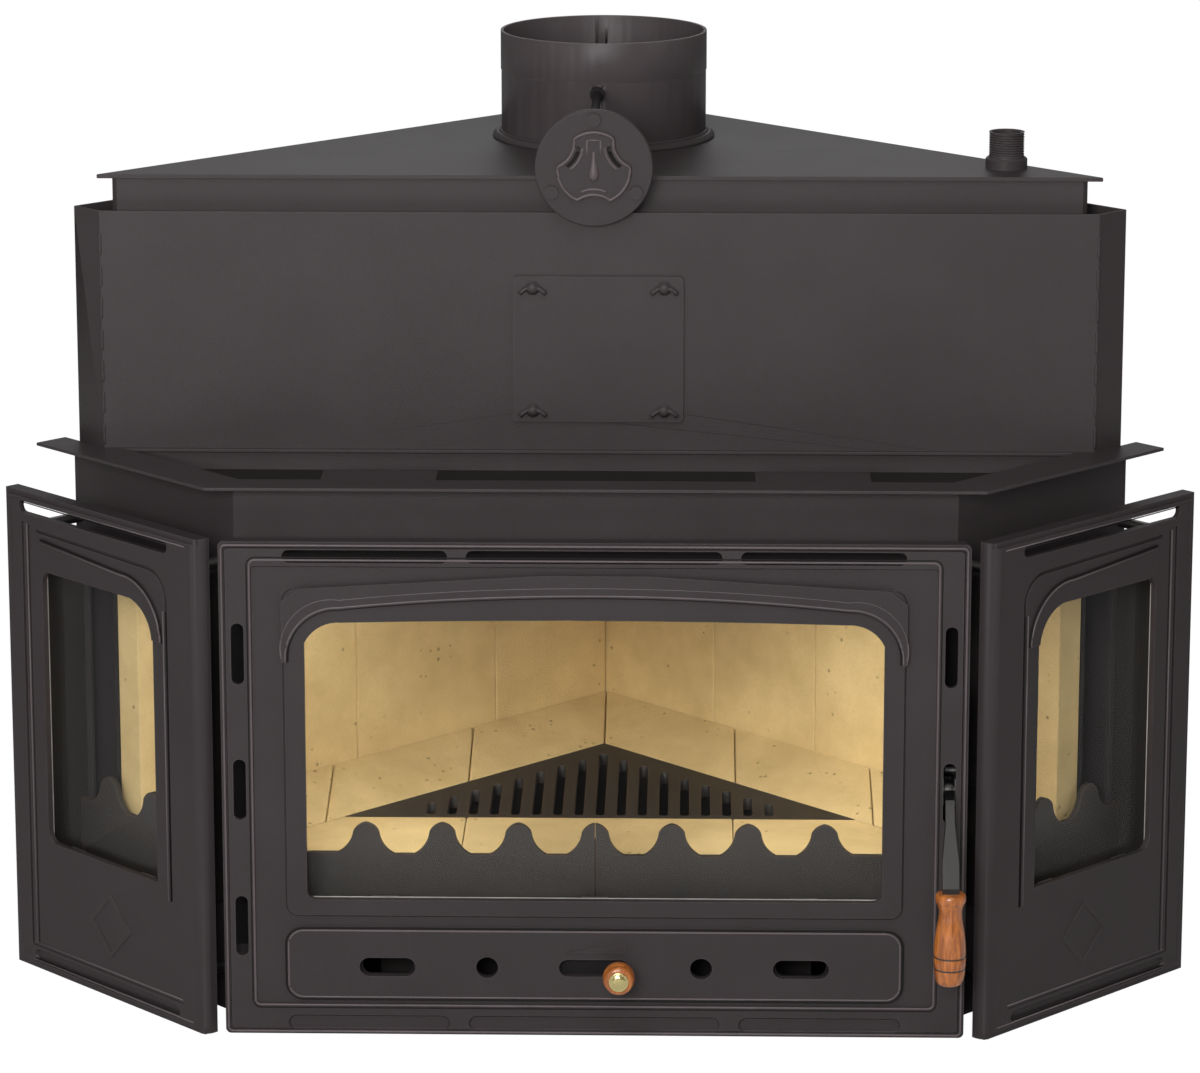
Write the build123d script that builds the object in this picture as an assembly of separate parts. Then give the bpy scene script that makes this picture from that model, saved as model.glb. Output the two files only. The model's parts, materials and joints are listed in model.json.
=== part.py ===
from build123d import *
import math
import os

# Water-heating corner fireplace insert, in millimetres, +Z up.
# The origin is on the floor under the flue axis; -Y is the room side and +Y the room corner.
# Depths named below are counted back from the face of the door.
FLUE_TO_DOOR = 443.0
ROOT2 = math.sqrt(2)

# Clearances
SEAT_GAP = 0.3
SHAFT_PLAY = 0.05
SHEET = 4.0

# Door casting
DOOR_WIDTH = 675.0
DOOR_HEIGHT = 465.0
DOOR_FOOT = 4.0
DOOR_SKIN = 6.0
DOOR_RIM = 16.0
DOOR_RIM_WALL = 4.5
EDGE_STEP = 2.5
EDGE_LEDGE = 5.0
FIELD_HALF = 309.0
FIELD_LOW = 27.0
FIELD_HIGH = 443.0
FIELD_DEPTH = 1.8
DRAFT = 35.0
WINDOW_HALF = 261.0
WINDOW_LOW = 130.0
WINDOW_SHOULDER = 371.0
WINDOW_HIGH = 394.0
WINDOW_SHOULDER_IN = 34.0
WINDOW_CORNER = 8.0
FRAME_HALF = 281.0
FRAME_LOW = 113.0
FRAME_RAISE = 3.0
FRAME_HIGH = 423.0
ARCH_LEG_LOW = 354.0
ARCH_LEG_WIDTH = 4.0
ARCH_RAISE = 2.5
ARCH_SIDE_HIGH = 411.0
ARCH_BEND = 266.0
ARCH_CROWN_HALF = 47.0
ARCH_CROWN = 436.0
ARCH_HAUNCH = 387.0
ARCH_SHOULDER = (229.0, 404.0)
ARCH_UNDERSIDE = 416.0
WEDGE_START = -26.0
WEDGE_RISE = 15.0
WEDGE_RAISE = 1.2
PANEL_HALF = 282.0
PANEL_LOW = 33.5
PANEL_HIGH = 103.6
PANEL_CORNER = 16.0
PANEL_RAISE = 3.5
VENT_HEIGHT = 12.0
VENT_LEVEL = 452.0
VENT_CENTRE_HALF = 115.0
VENT_SIDE_IN = 131.5
VENT_SIDE_OUT = 280.0
FLUTE_LEVEL = 11.3
FLUTE_HEIGHT = 15.4
FLUTE_DEPTH = 3.0
SIDE_SLOT_X = 321.0
SIDE_SLOT_WIDTH = 11.5
SIDE_SLOT_HEIGHT = 57.0
SIDE_SLOT_LEVELS = (361.0, 233.5, 104.0)

# Air inlet slots of the lower door panel and the slide behind them
AIR_LEVEL = 66.0
AIR_SLOT_IN = 163.0
AIR_SLOT_OUT = 214.0
AIR_SLOT_HEIGHT = 17.4
AIR_HOLE_X = 97.5
AIR_HOLE_RADIUS = 10.0
KNOB_SLOT_HALF = 32.0
KNOB_SLOT_HEIGHT = 16.0
WEDGE_LENGTH = 54.0
WEDGE_HEIGHT = 9.0
SLIDE_HEIGHT = 44.0
SLIDE_HALF = 240.0
SLIDE_THICK = 3.0
SLIDE_TRAVEL = 46.0
STEM_X = 23.0
STEM_RADIUS = 4.0
KNOB_RADIUS = 14.5
KNOB_FRONT = 38.0
KNOB_LENGTH = 22.0
CAP_RADIUS = 9.0
CAP_THICK = 3.0

# Hinges of the door
HINGE_X = 325.0
HINGE_SETBACK = 14.0
HINGE_PIN_RADIUS = 4.0
KNUCKLE_RADIUS = 7.5
HINGE_LEVELS = (26.0, 408.0)
HINGE_EYE = 6.0
KNUCKLE_HEIGHT = 34.0

# Handle
LEVER_THICK = 8.0
LEVER_PIVOT_SETBACK = 14.0
LEVER_PIVOT_RADIUS = 4.0
LEVER_HUB_RADIUS = 9.0
LEVER_WIDE = 15.0
GRIP_FRONT = 45.0
GRIP_LOW = 69.0
GRIP_HIGH = 155.0
GRIP_BELLY = 14.5
GRIP_NECK = 10.5
GRIP_COLLAR = 13.5
KEEPER_SETBACK = 46.0
KEEPER_PIN_RADIUS = 4.0

# Wing panels: castings at 45 degrees, u counted from their inner corner
WING_INNER_X = 357.3
WING_INNER_Y = -0.8
WING_LENGTH = 284.0
WING_HEIGHT = 468.0
WING_FOOT = 2.0
WING_RIM = 16.0
WING_NOSE_RADIUS = 12.0
WING_WINDOW_IN = 64.0
WING_WINDOW_OUT = 229.0
WING_SLOT_IN = 41.0
WING_SLOT_OUT = 262.0
WING_WINDOW_HIGH = 395.0
WING_SWEEP = 39.0
WING_SWEEP_IN = 32.0
WING_BORDER_U = 257.0
WING_BORDER = (22.0, 438.0)
WING_FRAME_U = 44.0
WING_FRAME_LOW = 116.0
WING_FRAME_HIGH = 432.0
WING_FRAME_CORNER = 28.0
WING_FLUTE = (35.0, 256.0)
WING_ARCH_FOOT = 361.0
WING_ARCH_HIGH = 423.0
WING_ARCH_RAISE = 1.5
WING_SEAL_WIDTH = 5.0
WING_BOLT_IN = 30.0
WING_BOLT_OUT = 33.0
WING_BOLT_LEVELS = (50.0, 436.0)
WING_BOLT_RADIUS = 5.0
LOZENGE = (136.0, 70.0)
LOZENGE_SIDE = 44.0
LOZENGE_LINE = 3.5
LOZENGE_RAISE = 1.0
GROOVE = 3.5
GROOVE_DEPTH = 2.5

# Body: front line, 45 degree wing faces at |X| - y and back walls at |X| + y
BODY_FRONT = 59.6
BODY_WING = 268.9
BODY_BACK = 721.0
BODY_TOP = 507.0
BRICK_FACE = 600.0
BRICK_THICK = 30.0
JACKET_INNER = 5.0
CEILING_TOP = 489.0
HEARTH_TOP = 104.0
HEARTH_FLOOR = 134.0
BRICK_BASE = 158.0
BRICK_TOP = 436.0
BRICK_WIDTH = 185.0
BRICK_JOINT = 1.0
RIGHT_BRICK_WIDTHS = (185.0, 140.0, 185.0)
LEFT_BRICK_WIDTHS = (154.0, 185.0, 185.0)
FRONT_BRICK_JOINT = 128.0
BAFFLE_FRONT = 330.0
BAFFLE_THICK = 6.0
RISER_RADIUS = 4.5
RISER_STEPS = (90.0, 190.0, 290.0, 390.0)

# Sealing sleeves between the castings and the body
SLEEVE_HALF = 299.0
SLEEVE_LOW = 16.0
SLEEVE_HIGH = 444.0
SLEEVE_FRONT = 18.0
SLEEVE_WALL = 3.0
ROPE_WIDTH = 10.0
WING_SLEEVE_IN = 52.0
WING_SLEEVE_OUT = 241.0
WING_SLEEVE_LOW = 112.0
WING_SLEEVE_HIGH = 418.0
WING_ROPE = 8.0

# Glass
GLASS = 4.0
GLASS_LAP = 12.0
GASKET = 3.0

# Grate
GRATE_FRONT = 246.0
GRATE_APEX = 491.0
GRATE_THICK = 12.0
GRATE_SLOTS = 17
GRATE_PITCH = 20.4
GRATE_SLOT = 9.0
GRATE_MARGIN = 8.0
GRATE_REAR_MARGIN = 26.0

# Log retainer combs
COMB_SETBACK = 46.0
COMB_THICK = 6.0
COMB_PITCH = 70.0
COMB_PEAK = 192.0
COMB_VALLEY = 162.0
COMB_END = 163.5
COMB_SHOULDER = 12.0
COMB_FLANK = 14.0
COMB_TIP_HEIGHT = 9.0
COMB_TIP_RADIUS = 16.0
COMB_VALLEY_RADIUS = 26.0
WING_COMB_PITCH = 65.0
WING_COMB_SETBACK = 10.0

# Ash pan
PAN_WIDTH = 400.0
PAN_FRONT = 74.0
PAN_DEPTH = 290.0
PAN_HEIGHT = 78.0
PAN_WALL = 1.5

# Flange round the front of the body
FLANGE_THICK = 3.0
FLANGE_FRONT = 36.0
FLANGE_WING = 317.0
FLANGE_BACK = 740.0
RECESS_FRONT = 70.0
RECESS_WING = 254.0
RECESS_BACK = 188.0
TAB_IN = 145.0
TAB_OUT = 250.0
TAB_BACK = 107.0

# Shroud, upper water jacket and flue
SHROUD = (193.4, 268.6, 709.0)
SHROUD_TOP = 734.5
SHROUD_SHEET = 2.0
JACKET = (213.0, 235.0, 670.0)
JACKET_TOP = 762.0
WATER_GAP = 40.0
SMOKE_TOP = 722.0
TOP_SHEET = 4.0
TOP_OVERHANG = 3.0
FLUE_RADIUS = 100.0
FLUE_WALL = 3.0
FLUE_TOP = 870.0
THROAT_STEP = 1.0
SOCKET_LEVEL = 832.0
SOCKET_STEP = 0.6
RING_WIDTH = 8.0
RING_HEIGHT = 6.0
COVER_WIDTH = 158.0
COVER_HEIGHT = 138.0
COVER_LEVEL = 606.0
COVER_BOLT_X = 122.0
COVER_BOLT_Z = 116.0
COVER_BOLT_RADIUS = 4.0

# Water connections, one-inch male
NIPPLE_RADIUS = 16.6
NIPPLE_BORE = 13.5
NIPPLE_BASE_RADIUS = 19.5
OUTLET_X = 380.0
OUTLET_DEPTH = 265.0
OUTLET_HEIGHT = 34.0
RETURN_ALONG = 560.0
RETURN_LEVEL = 60.0
RETURN_LENGTH = 40.0

# Flue damper
DAMPER_X = -4.0
DAMPER_LEVEL = 823.0
DAMPER_ROD = 4.0
DAMPER_BLADE_RADIUS = 94.0
DAMPER_BLADE = 3.0
DISC_RADIUS = 54.5
DISC_THICK = 6.0
DISC_SETBACK = 182.0
RIVET_CIRCLE = 45.0
RIVET_RADIUS = 4.0
ROSETTE_RADIUS = 34.0
ROSETTE_WAIST = 26.0
ROSETTE_RAISE = 4.0

BODY = (BODY_FRONT, BODY_WING, BODY_BACK)
SHEET_DIAGONAL = SHEET * ROOT2


def inset(outline, gap):
    """The same corner outline with every side moved inward."""
    front, wing, back = outline
    return (front + gap, wing - gap * ROOT2, back - gap * ROOT2)


def plan(outline):
    """Corner outline as points: front line, two wings and two back walls."""
    front, wing, back = outline
    half_front = front + wing
    half_wing = (back + wing) / 2
    tip = (back - wing) / 2
    points = [(-half_front, front), (half_front, front), (half_wing, tip), (0, back), (-half_wing, tip)]
    if half_wing <= half_front:
        # The back walls reach the front line before the wings do, so a triangle is left.
        points = [(front - back, front), (back - front, front), (0, back)]
    return [(x, y - FLUE_TO_DOOR) for x, y in points]


def slab(points, low, high):
    """Flat plate with the given plan between two heights."""
    return Pos(0, 0, low) * extrude(make_face(Polyline(*points, close=True)), high - low)


def walls(outer, inner, low, high):
    """Sheet walls between two corner outlines."""
    return slab(plan(outer), low, high) - slab(plan(inner), low, high)


def block(x0, x1, y0, y1, z0, z1):
    """Box given by its limits, with y counted from the door's face."""
    centre = Pos((x0 + x1) / 2, (y0 + y1) / 2 - FLUE_TO_DOOR, (z0 + z1) / 2)
    return centre * Box(x1 - x0, y1 - y0, z1 - z0)


def front_plane(depth):
    """Plane facing the room: local x is X, local y is height above the floor."""
    return Plane(origin=(0, depth - FLUE_TO_DOOR, 0), x_dir=(1, 0, 0), z_dir=(0, -1, 0))


def wing_plane(depth):
    """Plane of the right wing panel, local x from its inner corner, depth behind its face."""
    x = WING_INNER_X - depth / ROOT2
    y = WING_INNER_Y + depth / ROOT2 - FLUE_TO_DOOR
    return Plane(origin=(x, y, 0), x_dir=(1, 1, 0), z_dir=(1, -1, 0))


def raised(plane, sketch, height, draft=DRAFT):
    """Cast pad standing on a plane, its sides drawn in by the draft."""
    return extrude(plane * sketch, height, taper=draft)


def slot_sketch(x0, x1, level, height):
    """Long hole with round ends between two x limits."""
    return Pos((x0 + x1) / 2, level) * SlotOverall(x1 - x0, height)


def rect_sketch(x0, x1, y0, y1, radius=0.0):
    """Rectangle by its limits, with round corners where a radius is given."""
    centre = Pos((x0 + x1) / 2, (y0 + y1) / 2)
    if radius > 0:
        return centre * RectangleRounded(x1 - x0, y1 - y0, radius)
    return centre * Rectangle(x1 - x0, y1 - y0)


def drilled(plane, sketch, depth):
    """Straight cutter going back from a plane."""
    return extrude(plane * sketch, -depth)


def mirrored(shape):
    """The same piece on the other side of the middle plane."""
    return mirror(shape, about=Plane.YZ)


def save(name, *solids):
    """Writes one named sub-part, one or more separate solids."""
    shape = solids[0] if len(solids) == 1 else Compound(children=list(solids))
    shape.label = name
    export_step(shape, f"parts/{name}.step")


def window_sketch():
    """Door window: round lower corners and shoulders rising to a nearly flat arch."""
    z0 = WINDOW_LOW + DOOR_FOOT
    z1 = WINDOW_SHOULDER + DOOR_FOOT
    z2 = WINDOW_HIGH + DOOR_FOOT
    half = WINDOW_HALF
    inner = half - WINDOW_SHOULDER_IN
    outline = Polyline((-half, z1), (-half, z0), (half, z0), (half, z1))
    right = RadiusArc((half, z1), (inner, z2 - 3), -WINDOW_SHOULDER_IN)
    top = ThreePointArc((inner, z2 - 3), (0, z2), (-inner, z2 - 3))
    left = RadiusArc((-inner, z2 - 3), (-half, z1), -WINDOW_SHOULDER_IN)
    face = make_face([outline, right, top, left])
    low = [v for v in face.vertices() if v.Y < z0 + 1]
    return fillet(low, WINDOW_CORNER)


def arch_sketch():
    """Raised cap over the window with two short legs."""
    lift = DOOR_FOOT
    foot = ARCH_LEG_LOW + lift
    side, bend, crown = ARCH_SIDE_HIGH + lift, FRAME_HIGH + lift, ARCH_CROWN + lift
    inner_half = FRAME_HALF - ARCH_LEG_WIDTH
    haunch, shoulder_x, shoulder = ARCH_HAUNCH + lift, ARCH_SHOULDER[0], ARCH_SHOULDER[1] + lift
    outer = Polyline((-FRAME_HALF, foot), (-FRAME_HALF, side), (-ARCH_BEND, bend),
                     (-ARCH_CROWN_HALF, crown), (ARCH_CROWN_HALF, crown), (ARCH_BEND, bend),
                     (FRAME_HALF, side), (FRAME_HALF, foot), (inner_half, foot))
    right = ThreePointArc((inner_half, foot), (ARCH_BEND, haunch), (shoulder_x, shoulder))
    top = ThreePointArc((shoulder_x, shoulder), (0, ARCH_UNDERSIDE + lift), (-shoulder_x, shoulder))
    left = ThreePointArc((-shoulder_x, shoulder), (-ARCH_BEND, haunch), (-inner_half, foot))
    base = Line((-inner_half, foot), (-FRAME_HALF, foot))
    return make_face([outer, right, top, left, base])


def side_slots(depth):
    """Upright cooling slots on both sides of the window."""
    cutters = []
    for side in (-1, 1):
        for level in SIDE_SLOT_LEVELS:
            place = Pos(side * SIDE_SLOT_X, level + DOOR_FOOT) * Rot(0, 0, 90)
            slot = place * SlotOverall(SIDE_SLOT_HEIGHT, SIDE_SLOT_WIDTH)
            cutters.append(drilled(front_plane(-depth), slot, 3 * depth))
    return cutters


def row_of_three(level, height, plane, cut):
    """Centre slot and two side slots at one level, each made by the given cutter."""
    made = []
    ranges = ((-VENT_CENTRE_HALF, VENT_CENTRE_HALF), (VENT_SIDE_IN, VENT_SIDE_OUT),
              (-VENT_SIDE_OUT, -VENT_SIDE_IN))
    for x0, x1 in ranges:
        made.append(cut(plane, slot_sketch(x0, x1, level + DOOR_FOOT, height)))
    return made


def air_openings(shift=0.0):
    """Sketches of the inlet slots and holes; the slide carries the same ones."""
    level = AIR_LEVEL + DOOR_FOOT
    sketches = []
    for side in (-1, 1):
        low, high = sorted((side * AIR_SLOT_IN, side * AIR_SLOT_OUT))
        sketches.append(slot_sketch(low + shift, high - shift, level, AIR_SLOT_HEIGHT))
        sketches.append(Pos(side * AIR_HOLE_X, level) * Circle(AIR_HOLE_RADIUS))
    return sketches


def make_door():
    """Door casting: stepped edge, sunk field, window frame, arch, air panel and rope channel."""
    half, top = DOOR_WIDTH / 2, DOOR_FOOT + DOOR_HEIGHT
    outer = rect_sketch(-half, half, DOOR_FOOT, top, 5)
    skin = raised(front_plane(DOOR_SKIN), outer, DOOR_SKIN - EDGE_STEP, 0)
    inner = rect_sketch(-half + EDGE_LEDGE, half - EDGE_LEDGE, DOOR_FOOT + EDGE_LEDGE, top - EDGE_LEDGE, 4)
    door = skin + raised(front_plane(EDGE_STEP), inner, EDGE_STEP, 25)
    rim_in = rect_sketch(-half + DOOR_RIM_WALL, half - DOOR_RIM_WALL,
                         DOOR_FOOT + DOOR_RIM_WALL, top - DOOR_RIM_WALL, 2)
    door += extrude(front_plane(DOOR_RIM) * (outer - rim_in), DOOR_RIM - DOOR_SKIN)
    for level in HINGE_LEVELS:
        low = level + DOOR_FOOT - HINGE_EYE
        door -= block(-half - 1, -HINGE_X + KNUCKLE_RADIUS, DOOR_SKIN, DOOR_RIM + 1,
                      low, low + KNUCKLE_HEIGHT + 3 * HINGE_EYE)
    field = rect_sketch(-FIELD_HALF, FIELD_HALF, FIELD_LOW + DOOR_FOOT, FIELD_HIGH + DOOR_FOOT, 4)
    door -= extrude(front_plane(0) * field, -FIELD_DEPTH, taper=DRAFT)
    floor = front_plane(FIELD_DEPTH)
    frame = rect_sketch(-FRAME_HALF, FRAME_HALF, FRAME_LOW + DOOR_FOOT, FRAME_HIGH + DOOR_FOOT, 12)
    door += raised(floor, frame, FRAME_RAISE)
    door += raised(front_plane(FIELD_DEPTH - FRAME_RAISE), arch_sketch(), ARCH_RAISE, 0)
    panel = rect_sketch(-PANEL_HALF, PANEL_HALF, PANEL_LOW + DOOR_FOOT, PANEL_HIGH + DOOR_FOOT, PANEL_CORNER)
    door += raised(floor, panel, PANEL_RAISE)
    rope_out = (SLEEVE_HALF + SLEEVE_WALL + 1.5, SLEEVE_LOW - SLEEVE_WALL, SLEEVE_HIGH + SLEEVE_WALL + 1)
    rope_in = SLEEVE_HALF - ROPE_WIDTH - 4
    channel = rect_sketch(-rope_out[0], rope_out[0], rope_out[1], rope_out[2])
    channel -= rect_sketch(-SLEEVE_HALF - 1, SLEEVE_HALF + 1, SLEEVE_LOW, SLEEVE_HIGH)
    door += extrude(front_plane(DOOR_SKIN + 4) * channel, 4)
    lip = rect_sketch(-rope_in - 3, rope_in + 3, SLEEVE_LOW + ROPE_WIDTH + 1, SLEEVE_HIGH - ROPE_WIDTH - 1)
    lip -= rect_sketch(-rope_in, rope_in, SLEEVE_LOW + ROPE_WIDTH + 4, SLEEVE_HIGH - ROPE_WIDTH - 4)
    door += extrude(front_plane(DOOR_SKIN + 4) * lip, 4)
    through = 4 * DOOR_SKIN
    door -= drilled(front_plane(-DOOR_SKIN), window_sketch(), through)
    for cutter in side_slots(DOOR_SKIN):
        door -= cutter
    vents = row_of_three(VENT_LEVEL, VENT_HEIGHT, front_plane(-DOOR_SKIN), lambda p, s: drilled(p, s, through))
    flutes = row_of_three(FLUTE_LEVEL, FLUTE_HEIGHT, front_plane(0),
                          lambda p, s: extrude(p * s, -FLUTE_DEPTH, taper=DRAFT))
    for cutter in vents + flutes:
        door -= cutter
    knob_slot = slot_sketch(-KNOB_SLOT_HALF, KNOB_SLOT_HALF, AIR_LEVEL + DOOR_FOOT, KNOB_SLOT_HEIGHT)
    for sketch in air_openings() + [knob_slot]:
        door -= drilled(front_plane(-DOOR_SKIN), sketch, through)
    wedge_low, wedge_end = AIR_LEVEL + DOOR_FOOT + WEDGE_RISE, WEDGE_START + WEDGE_LENGTH
    wedge = make_face(Polyline((WEDGE_START, wedge_low), (wedge_end, wedge_low),
                               (wedge_end, wedge_low + WEDGE_HEIGHT), close=True))
    door += raised(front_plane(FIELD_DEPTH - PANEL_RAISE), wedge, WEDGE_RAISE, 0)
    save("door_casting", door)


def ring_solid(plane, outer, inner, thick):
    """Flat frame behind a plane, between two sketches."""
    return extrude(plane * (outer - inner), -thick)


def make_door_glazing():
    """Glass pane with its flat gasket and the clips that hold it to the casting."""
    half = WINDOW_HALF + GLASS_LAP
    low = WINDOW_LOW + DOOR_FOOT - GLASS_LAP + 3
    high = WINDOW_HIGH + DOOR_FOOT + GLASS_LAP
    pane = rect_sketch(-half, half, low, high, 3)
    opening = rect_sketch(-WINDOW_HALF - 1, WINDOW_HALF + 1,
                          WINDOW_LOW + DOOR_FOOT - 1, WINDOW_HIGH + DOOR_FOOT + 1)
    save("door_glass_gasket", ring_solid(front_plane(DOOR_SKIN), pane, opening, GASKET))
    save("door_glass", extrude(front_plane(DOOR_SKIN + GASKET) * pane, -GLASS))
    clips = []
    back = DOOR_SKIN + GASKET + GLASS
    for x in (-half * 0.7, 0, half * 0.7):
        for level, sign in ((low, -1), (high, 1)):
            inner, outer = sorted((level - sign * 8, level + sign * 9))
            clip = block(x - 12, x + 12, back, back + 2, inner, outer)
            foot_low, foot_high = sorted((level + sign * 1, level + sign * 9))
            clip += block(x - 12, x + 12, DOOR_SKIN, back, foot_low, foot_high)
            clips.append(clip)
    save("door_glass_clips", *clips)


def make_door_seal():
    """Rope between the door and the front edge of the sleeve."""
    outer = rect_sketch(-SLEEVE_HALF, SLEEVE_HALF, SLEEVE_LOW + 1, SLEEVE_HIGH - 1, 4)
    inner = rect_sketch(-SLEEVE_HALF + ROPE_WIDTH, SLEEVE_HALF - ROPE_WIDTH,
                        SLEEVE_LOW + 1 + ROPE_WIDTH, SLEEVE_HIGH - 1 - ROPE_WIDTH)
    thick = SLEEVE_FRONT - DOOR_SKIN - SEAT_GAP
    save("door_rope_seal", ring_solid(front_plane(DOOR_SKIN), outer, inner, thick))


def upright(x, depth, radius, low, high):
    """Round bar standing along Z."""
    return Pos(x, depth - FLUE_TO_DOOR, (low + high) / 2) * Cylinder(radius, high - low)


def make_hinges():
    """Lift-off hinges: bracket eye and pin on the body, knuckle on the door."""
    brackets, pins, knuckles = [], [], []
    for level in HINGE_LEVELS:
        low = level + DOOR_FOOT - HINGE_EYE
        eye_top = low + HINGE_EYE
        arm = block(-HINGE_X - 3, -HINGE_X + 9, HINGE_SETBACK, BODY_FRONT, low, eye_top)
        arm += upright(-HINGE_X, HINGE_SETBACK, KNUCKLE_RADIUS - 1, low, eye_top)
        arm += block(-HINGE_X - 3, -HINGE_X + 9, BODY_FRONT - SHEET, BODY_FRONT, low - 10, eye_top + 24)
        arm -= upright(-HINGE_X, HINGE_SETBACK, HINGE_PIN_RADIUS, low, eye_top)
        brackets.append(arm)
        pins.append(upright(-HINGE_X, HINGE_SETBACK, HINGE_PIN_RADIUS, low, eye_top + KNUCKLE_HEIGHT))
        bottom = eye_top + SEAT_GAP
        knuckle = upright(-HINGE_X, HINGE_SETBACK, KNUCKLE_RADIUS, bottom, bottom + KNUCKLE_HEIGHT)
        leaf_end = -HINGE_X + KNUCKLE_RADIUS + 1
        knuckle += block(-HINGE_X, leaf_end, DOOR_SKIN, HINGE_SETBACK, bottom, bottom + KNUCKLE_HEIGHT)
        bore = HINGE_PIN_RADIUS + SHAFT_PLAY
        knuckle -= upright(-HINGE_X, HINGE_SETBACK, bore, bottom, bottom + KNUCKLE_HEIGHT)
        knuckles.append(knuckle)
    save("door_hinge_brackets", *brackets)
    save("door_hinge_pins", *pins)
    save("door_hinge_knuckles", *knuckles)


def bar_along_x(radius, x0, x1, depth, level):
    """Round bar lying along X."""
    place = Pos((x0 + x1) / 2, depth - FLUE_TO_DOOR, level) * Rot(0, 90, 0)
    return place * Cylinder(radius, x1 - x0)


def bar_along_y(radius, x, y0, y1, level):
    """Round bar lying along Y, y counted from the door's face."""
    place = Pos(x, (y0 + y1) / 2 - FLUE_TO_DOOR, level) * Rot(90, 0, 0)
    return place * Cylinder(radius, y1 - y0)


def make_handle():
    """Lever through the side slot, its wooden grip, pivot pin, ears on the door and keeper on the body."""
    x = SIDE_SLOT_X
    pivot_y, pivot_z = LEVER_PIVOT_SETBACK, SIDE_SLOT_LEVELS[1] + DOOR_FOOT
    grip_top, grip_low = GRIP_HIGH + DOOR_FOOT, GRIP_LOW + DOOR_FOOT
    side = Plane(origin=(x, -FLUE_TO_DOOR, 0), x_dir=(0, 1, 0), z_dir=(1, 0, 0))
    neck = make_face(Polyline((pivot_y, pivot_z + 5), (-9, pivot_z - 3), (-12.5, pivot_z - 7),
                              (-GRIP_FRONT - 4, grip_top + 5), (-GRIP_FRONT - 4, grip_top - 2),
                              (-GRIP_FRONT + 4, grip_top - 2), (-GRIP_FRONT + 4, grip_top + 3),
                              (-4, pivot_z - 11), (pivot_y, pivot_z - 5), close=True))
    tail_top = pivot_z + KEEPER_PIN_RADIUS
    tail = make_face(Polyline((pivot_y, pivot_z + 5), (KEEPER_SETBACK - 10, pivot_z - 1),
                              (KEEPER_SETBACK - 5, tail_top), (KEEPER_SETBACK + 5, tail_top),
                              (KEEPER_SETBACK + 5, pivot_z - 8), (pivot_y, pivot_z - 6), close=True))
    plate = extrude(side * neck, LEVER_WIDE / 2, both=True) + extrude(side * tail, LEVER_THICK / 2, both=True)
    plate += bar_along_x(LEVER_HUB_RADIUS, x - LEVER_THICK / 2, x + LEVER_THICK / 2, pivot_y, pivot_z)
    thin, wide = LEVER_THICK / 2, LEVER_WIDE / 2
    taper = make_face(Polyline((x - thin, pivot_z + 20), (x - thin, pivot_z - 22), (x - wide, grip_top + 25),
                               (x - wide, grip_top - 20), (x + wide, grip_top - 20), (x + wide, grip_top + 25),
                               (x + thin, pivot_z - 22), (x + thin, pivot_z + 20), close=True))
    lever = plate & extrude(front_plane(-2 * GRIP_FRONT) * taper, -4 * GRIP_FRONT)
    lever -= bar_along_x(LEVER_PIVOT_RADIUS, x - LEVER_WIDE, x + LEVER_WIDE, pivot_y, pivot_z)
    tang = upright(x, -GRIP_FRONT, 4, grip_low + 14, grip_top)
    save("handle_lever", lever + tang)
    height = grip_top - grip_low
    profile = Spline((GRIP_COLLAR, height), (GRIP_COLLAR, height - 7), (GRIP_NECK, height * 0.72),
                     (GRIP_BELLY, height * 0.32), (GRIP_BELLY - 0.5, height * 0.14), (GRIP_BELLY - 4, 0))
    rest = Polyline((GRIP_BELLY - 4, 0), (0, 0), (0, height), (GRIP_COLLAR, height))
    grip = revolve(Plane.XZ * make_face([profile, rest]), Axis.Z)
    grip = Pos(x, -GRIP_FRONT - FLUE_TO_DOOR, grip_low) * grip
    grip -= upright(x, -GRIP_FRONT, 4, grip_low + 14, grip_top + 1)
    grip -= block(x - wide - SEAT_GAP, x + wide + SEAT_GAP, -GRIP_FRONT - 4.2, -GRIP_FRONT + 4.2,
                  grip_top - 2.2, grip_top + 1)
    save("handle_grip", grip)
    ear = LEVER_THICK / 2 + 1
    pin = bar_along_x(LEVER_PIVOT_RADIUS - SHAFT_PLAY, x - ear - 4, x + ear + 4, pivot_y, pivot_z)
    save("handle_pivot_pin", pin)
    ears = []
    for sign in (-1, 1):
        low, high = sorted((x + sign * ear, x + sign * (ear + 4)))
        plate = block(low, high, DOOR_SKIN, pivot_y + 8, pivot_z - 12, pivot_z + 12)
        plate -= bar_along_x(LEVER_PIVOT_RADIUS, low, high, pivot_y, pivot_z)
        ears.append(plate)
    save("handle_pivot_ears", *ears)
    pin_z = tail_top + KEEPER_PIN_RADIUS + SEAT_GAP
    keeper = bar_along_x(KEEPER_PIN_RADIUS, x - 12, x + 12, KEEPER_SETBACK, pin_z)
    for sign in (-1, 1):
        low, high = sorted((x + sign * 8, x + sign * 12))
        keeper += block(low, high, KEEPER_SETBACK - 6, BODY_FRONT, pin_z - 7, pin_z + 7)
    save("latch_keeper", keeper)


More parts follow.
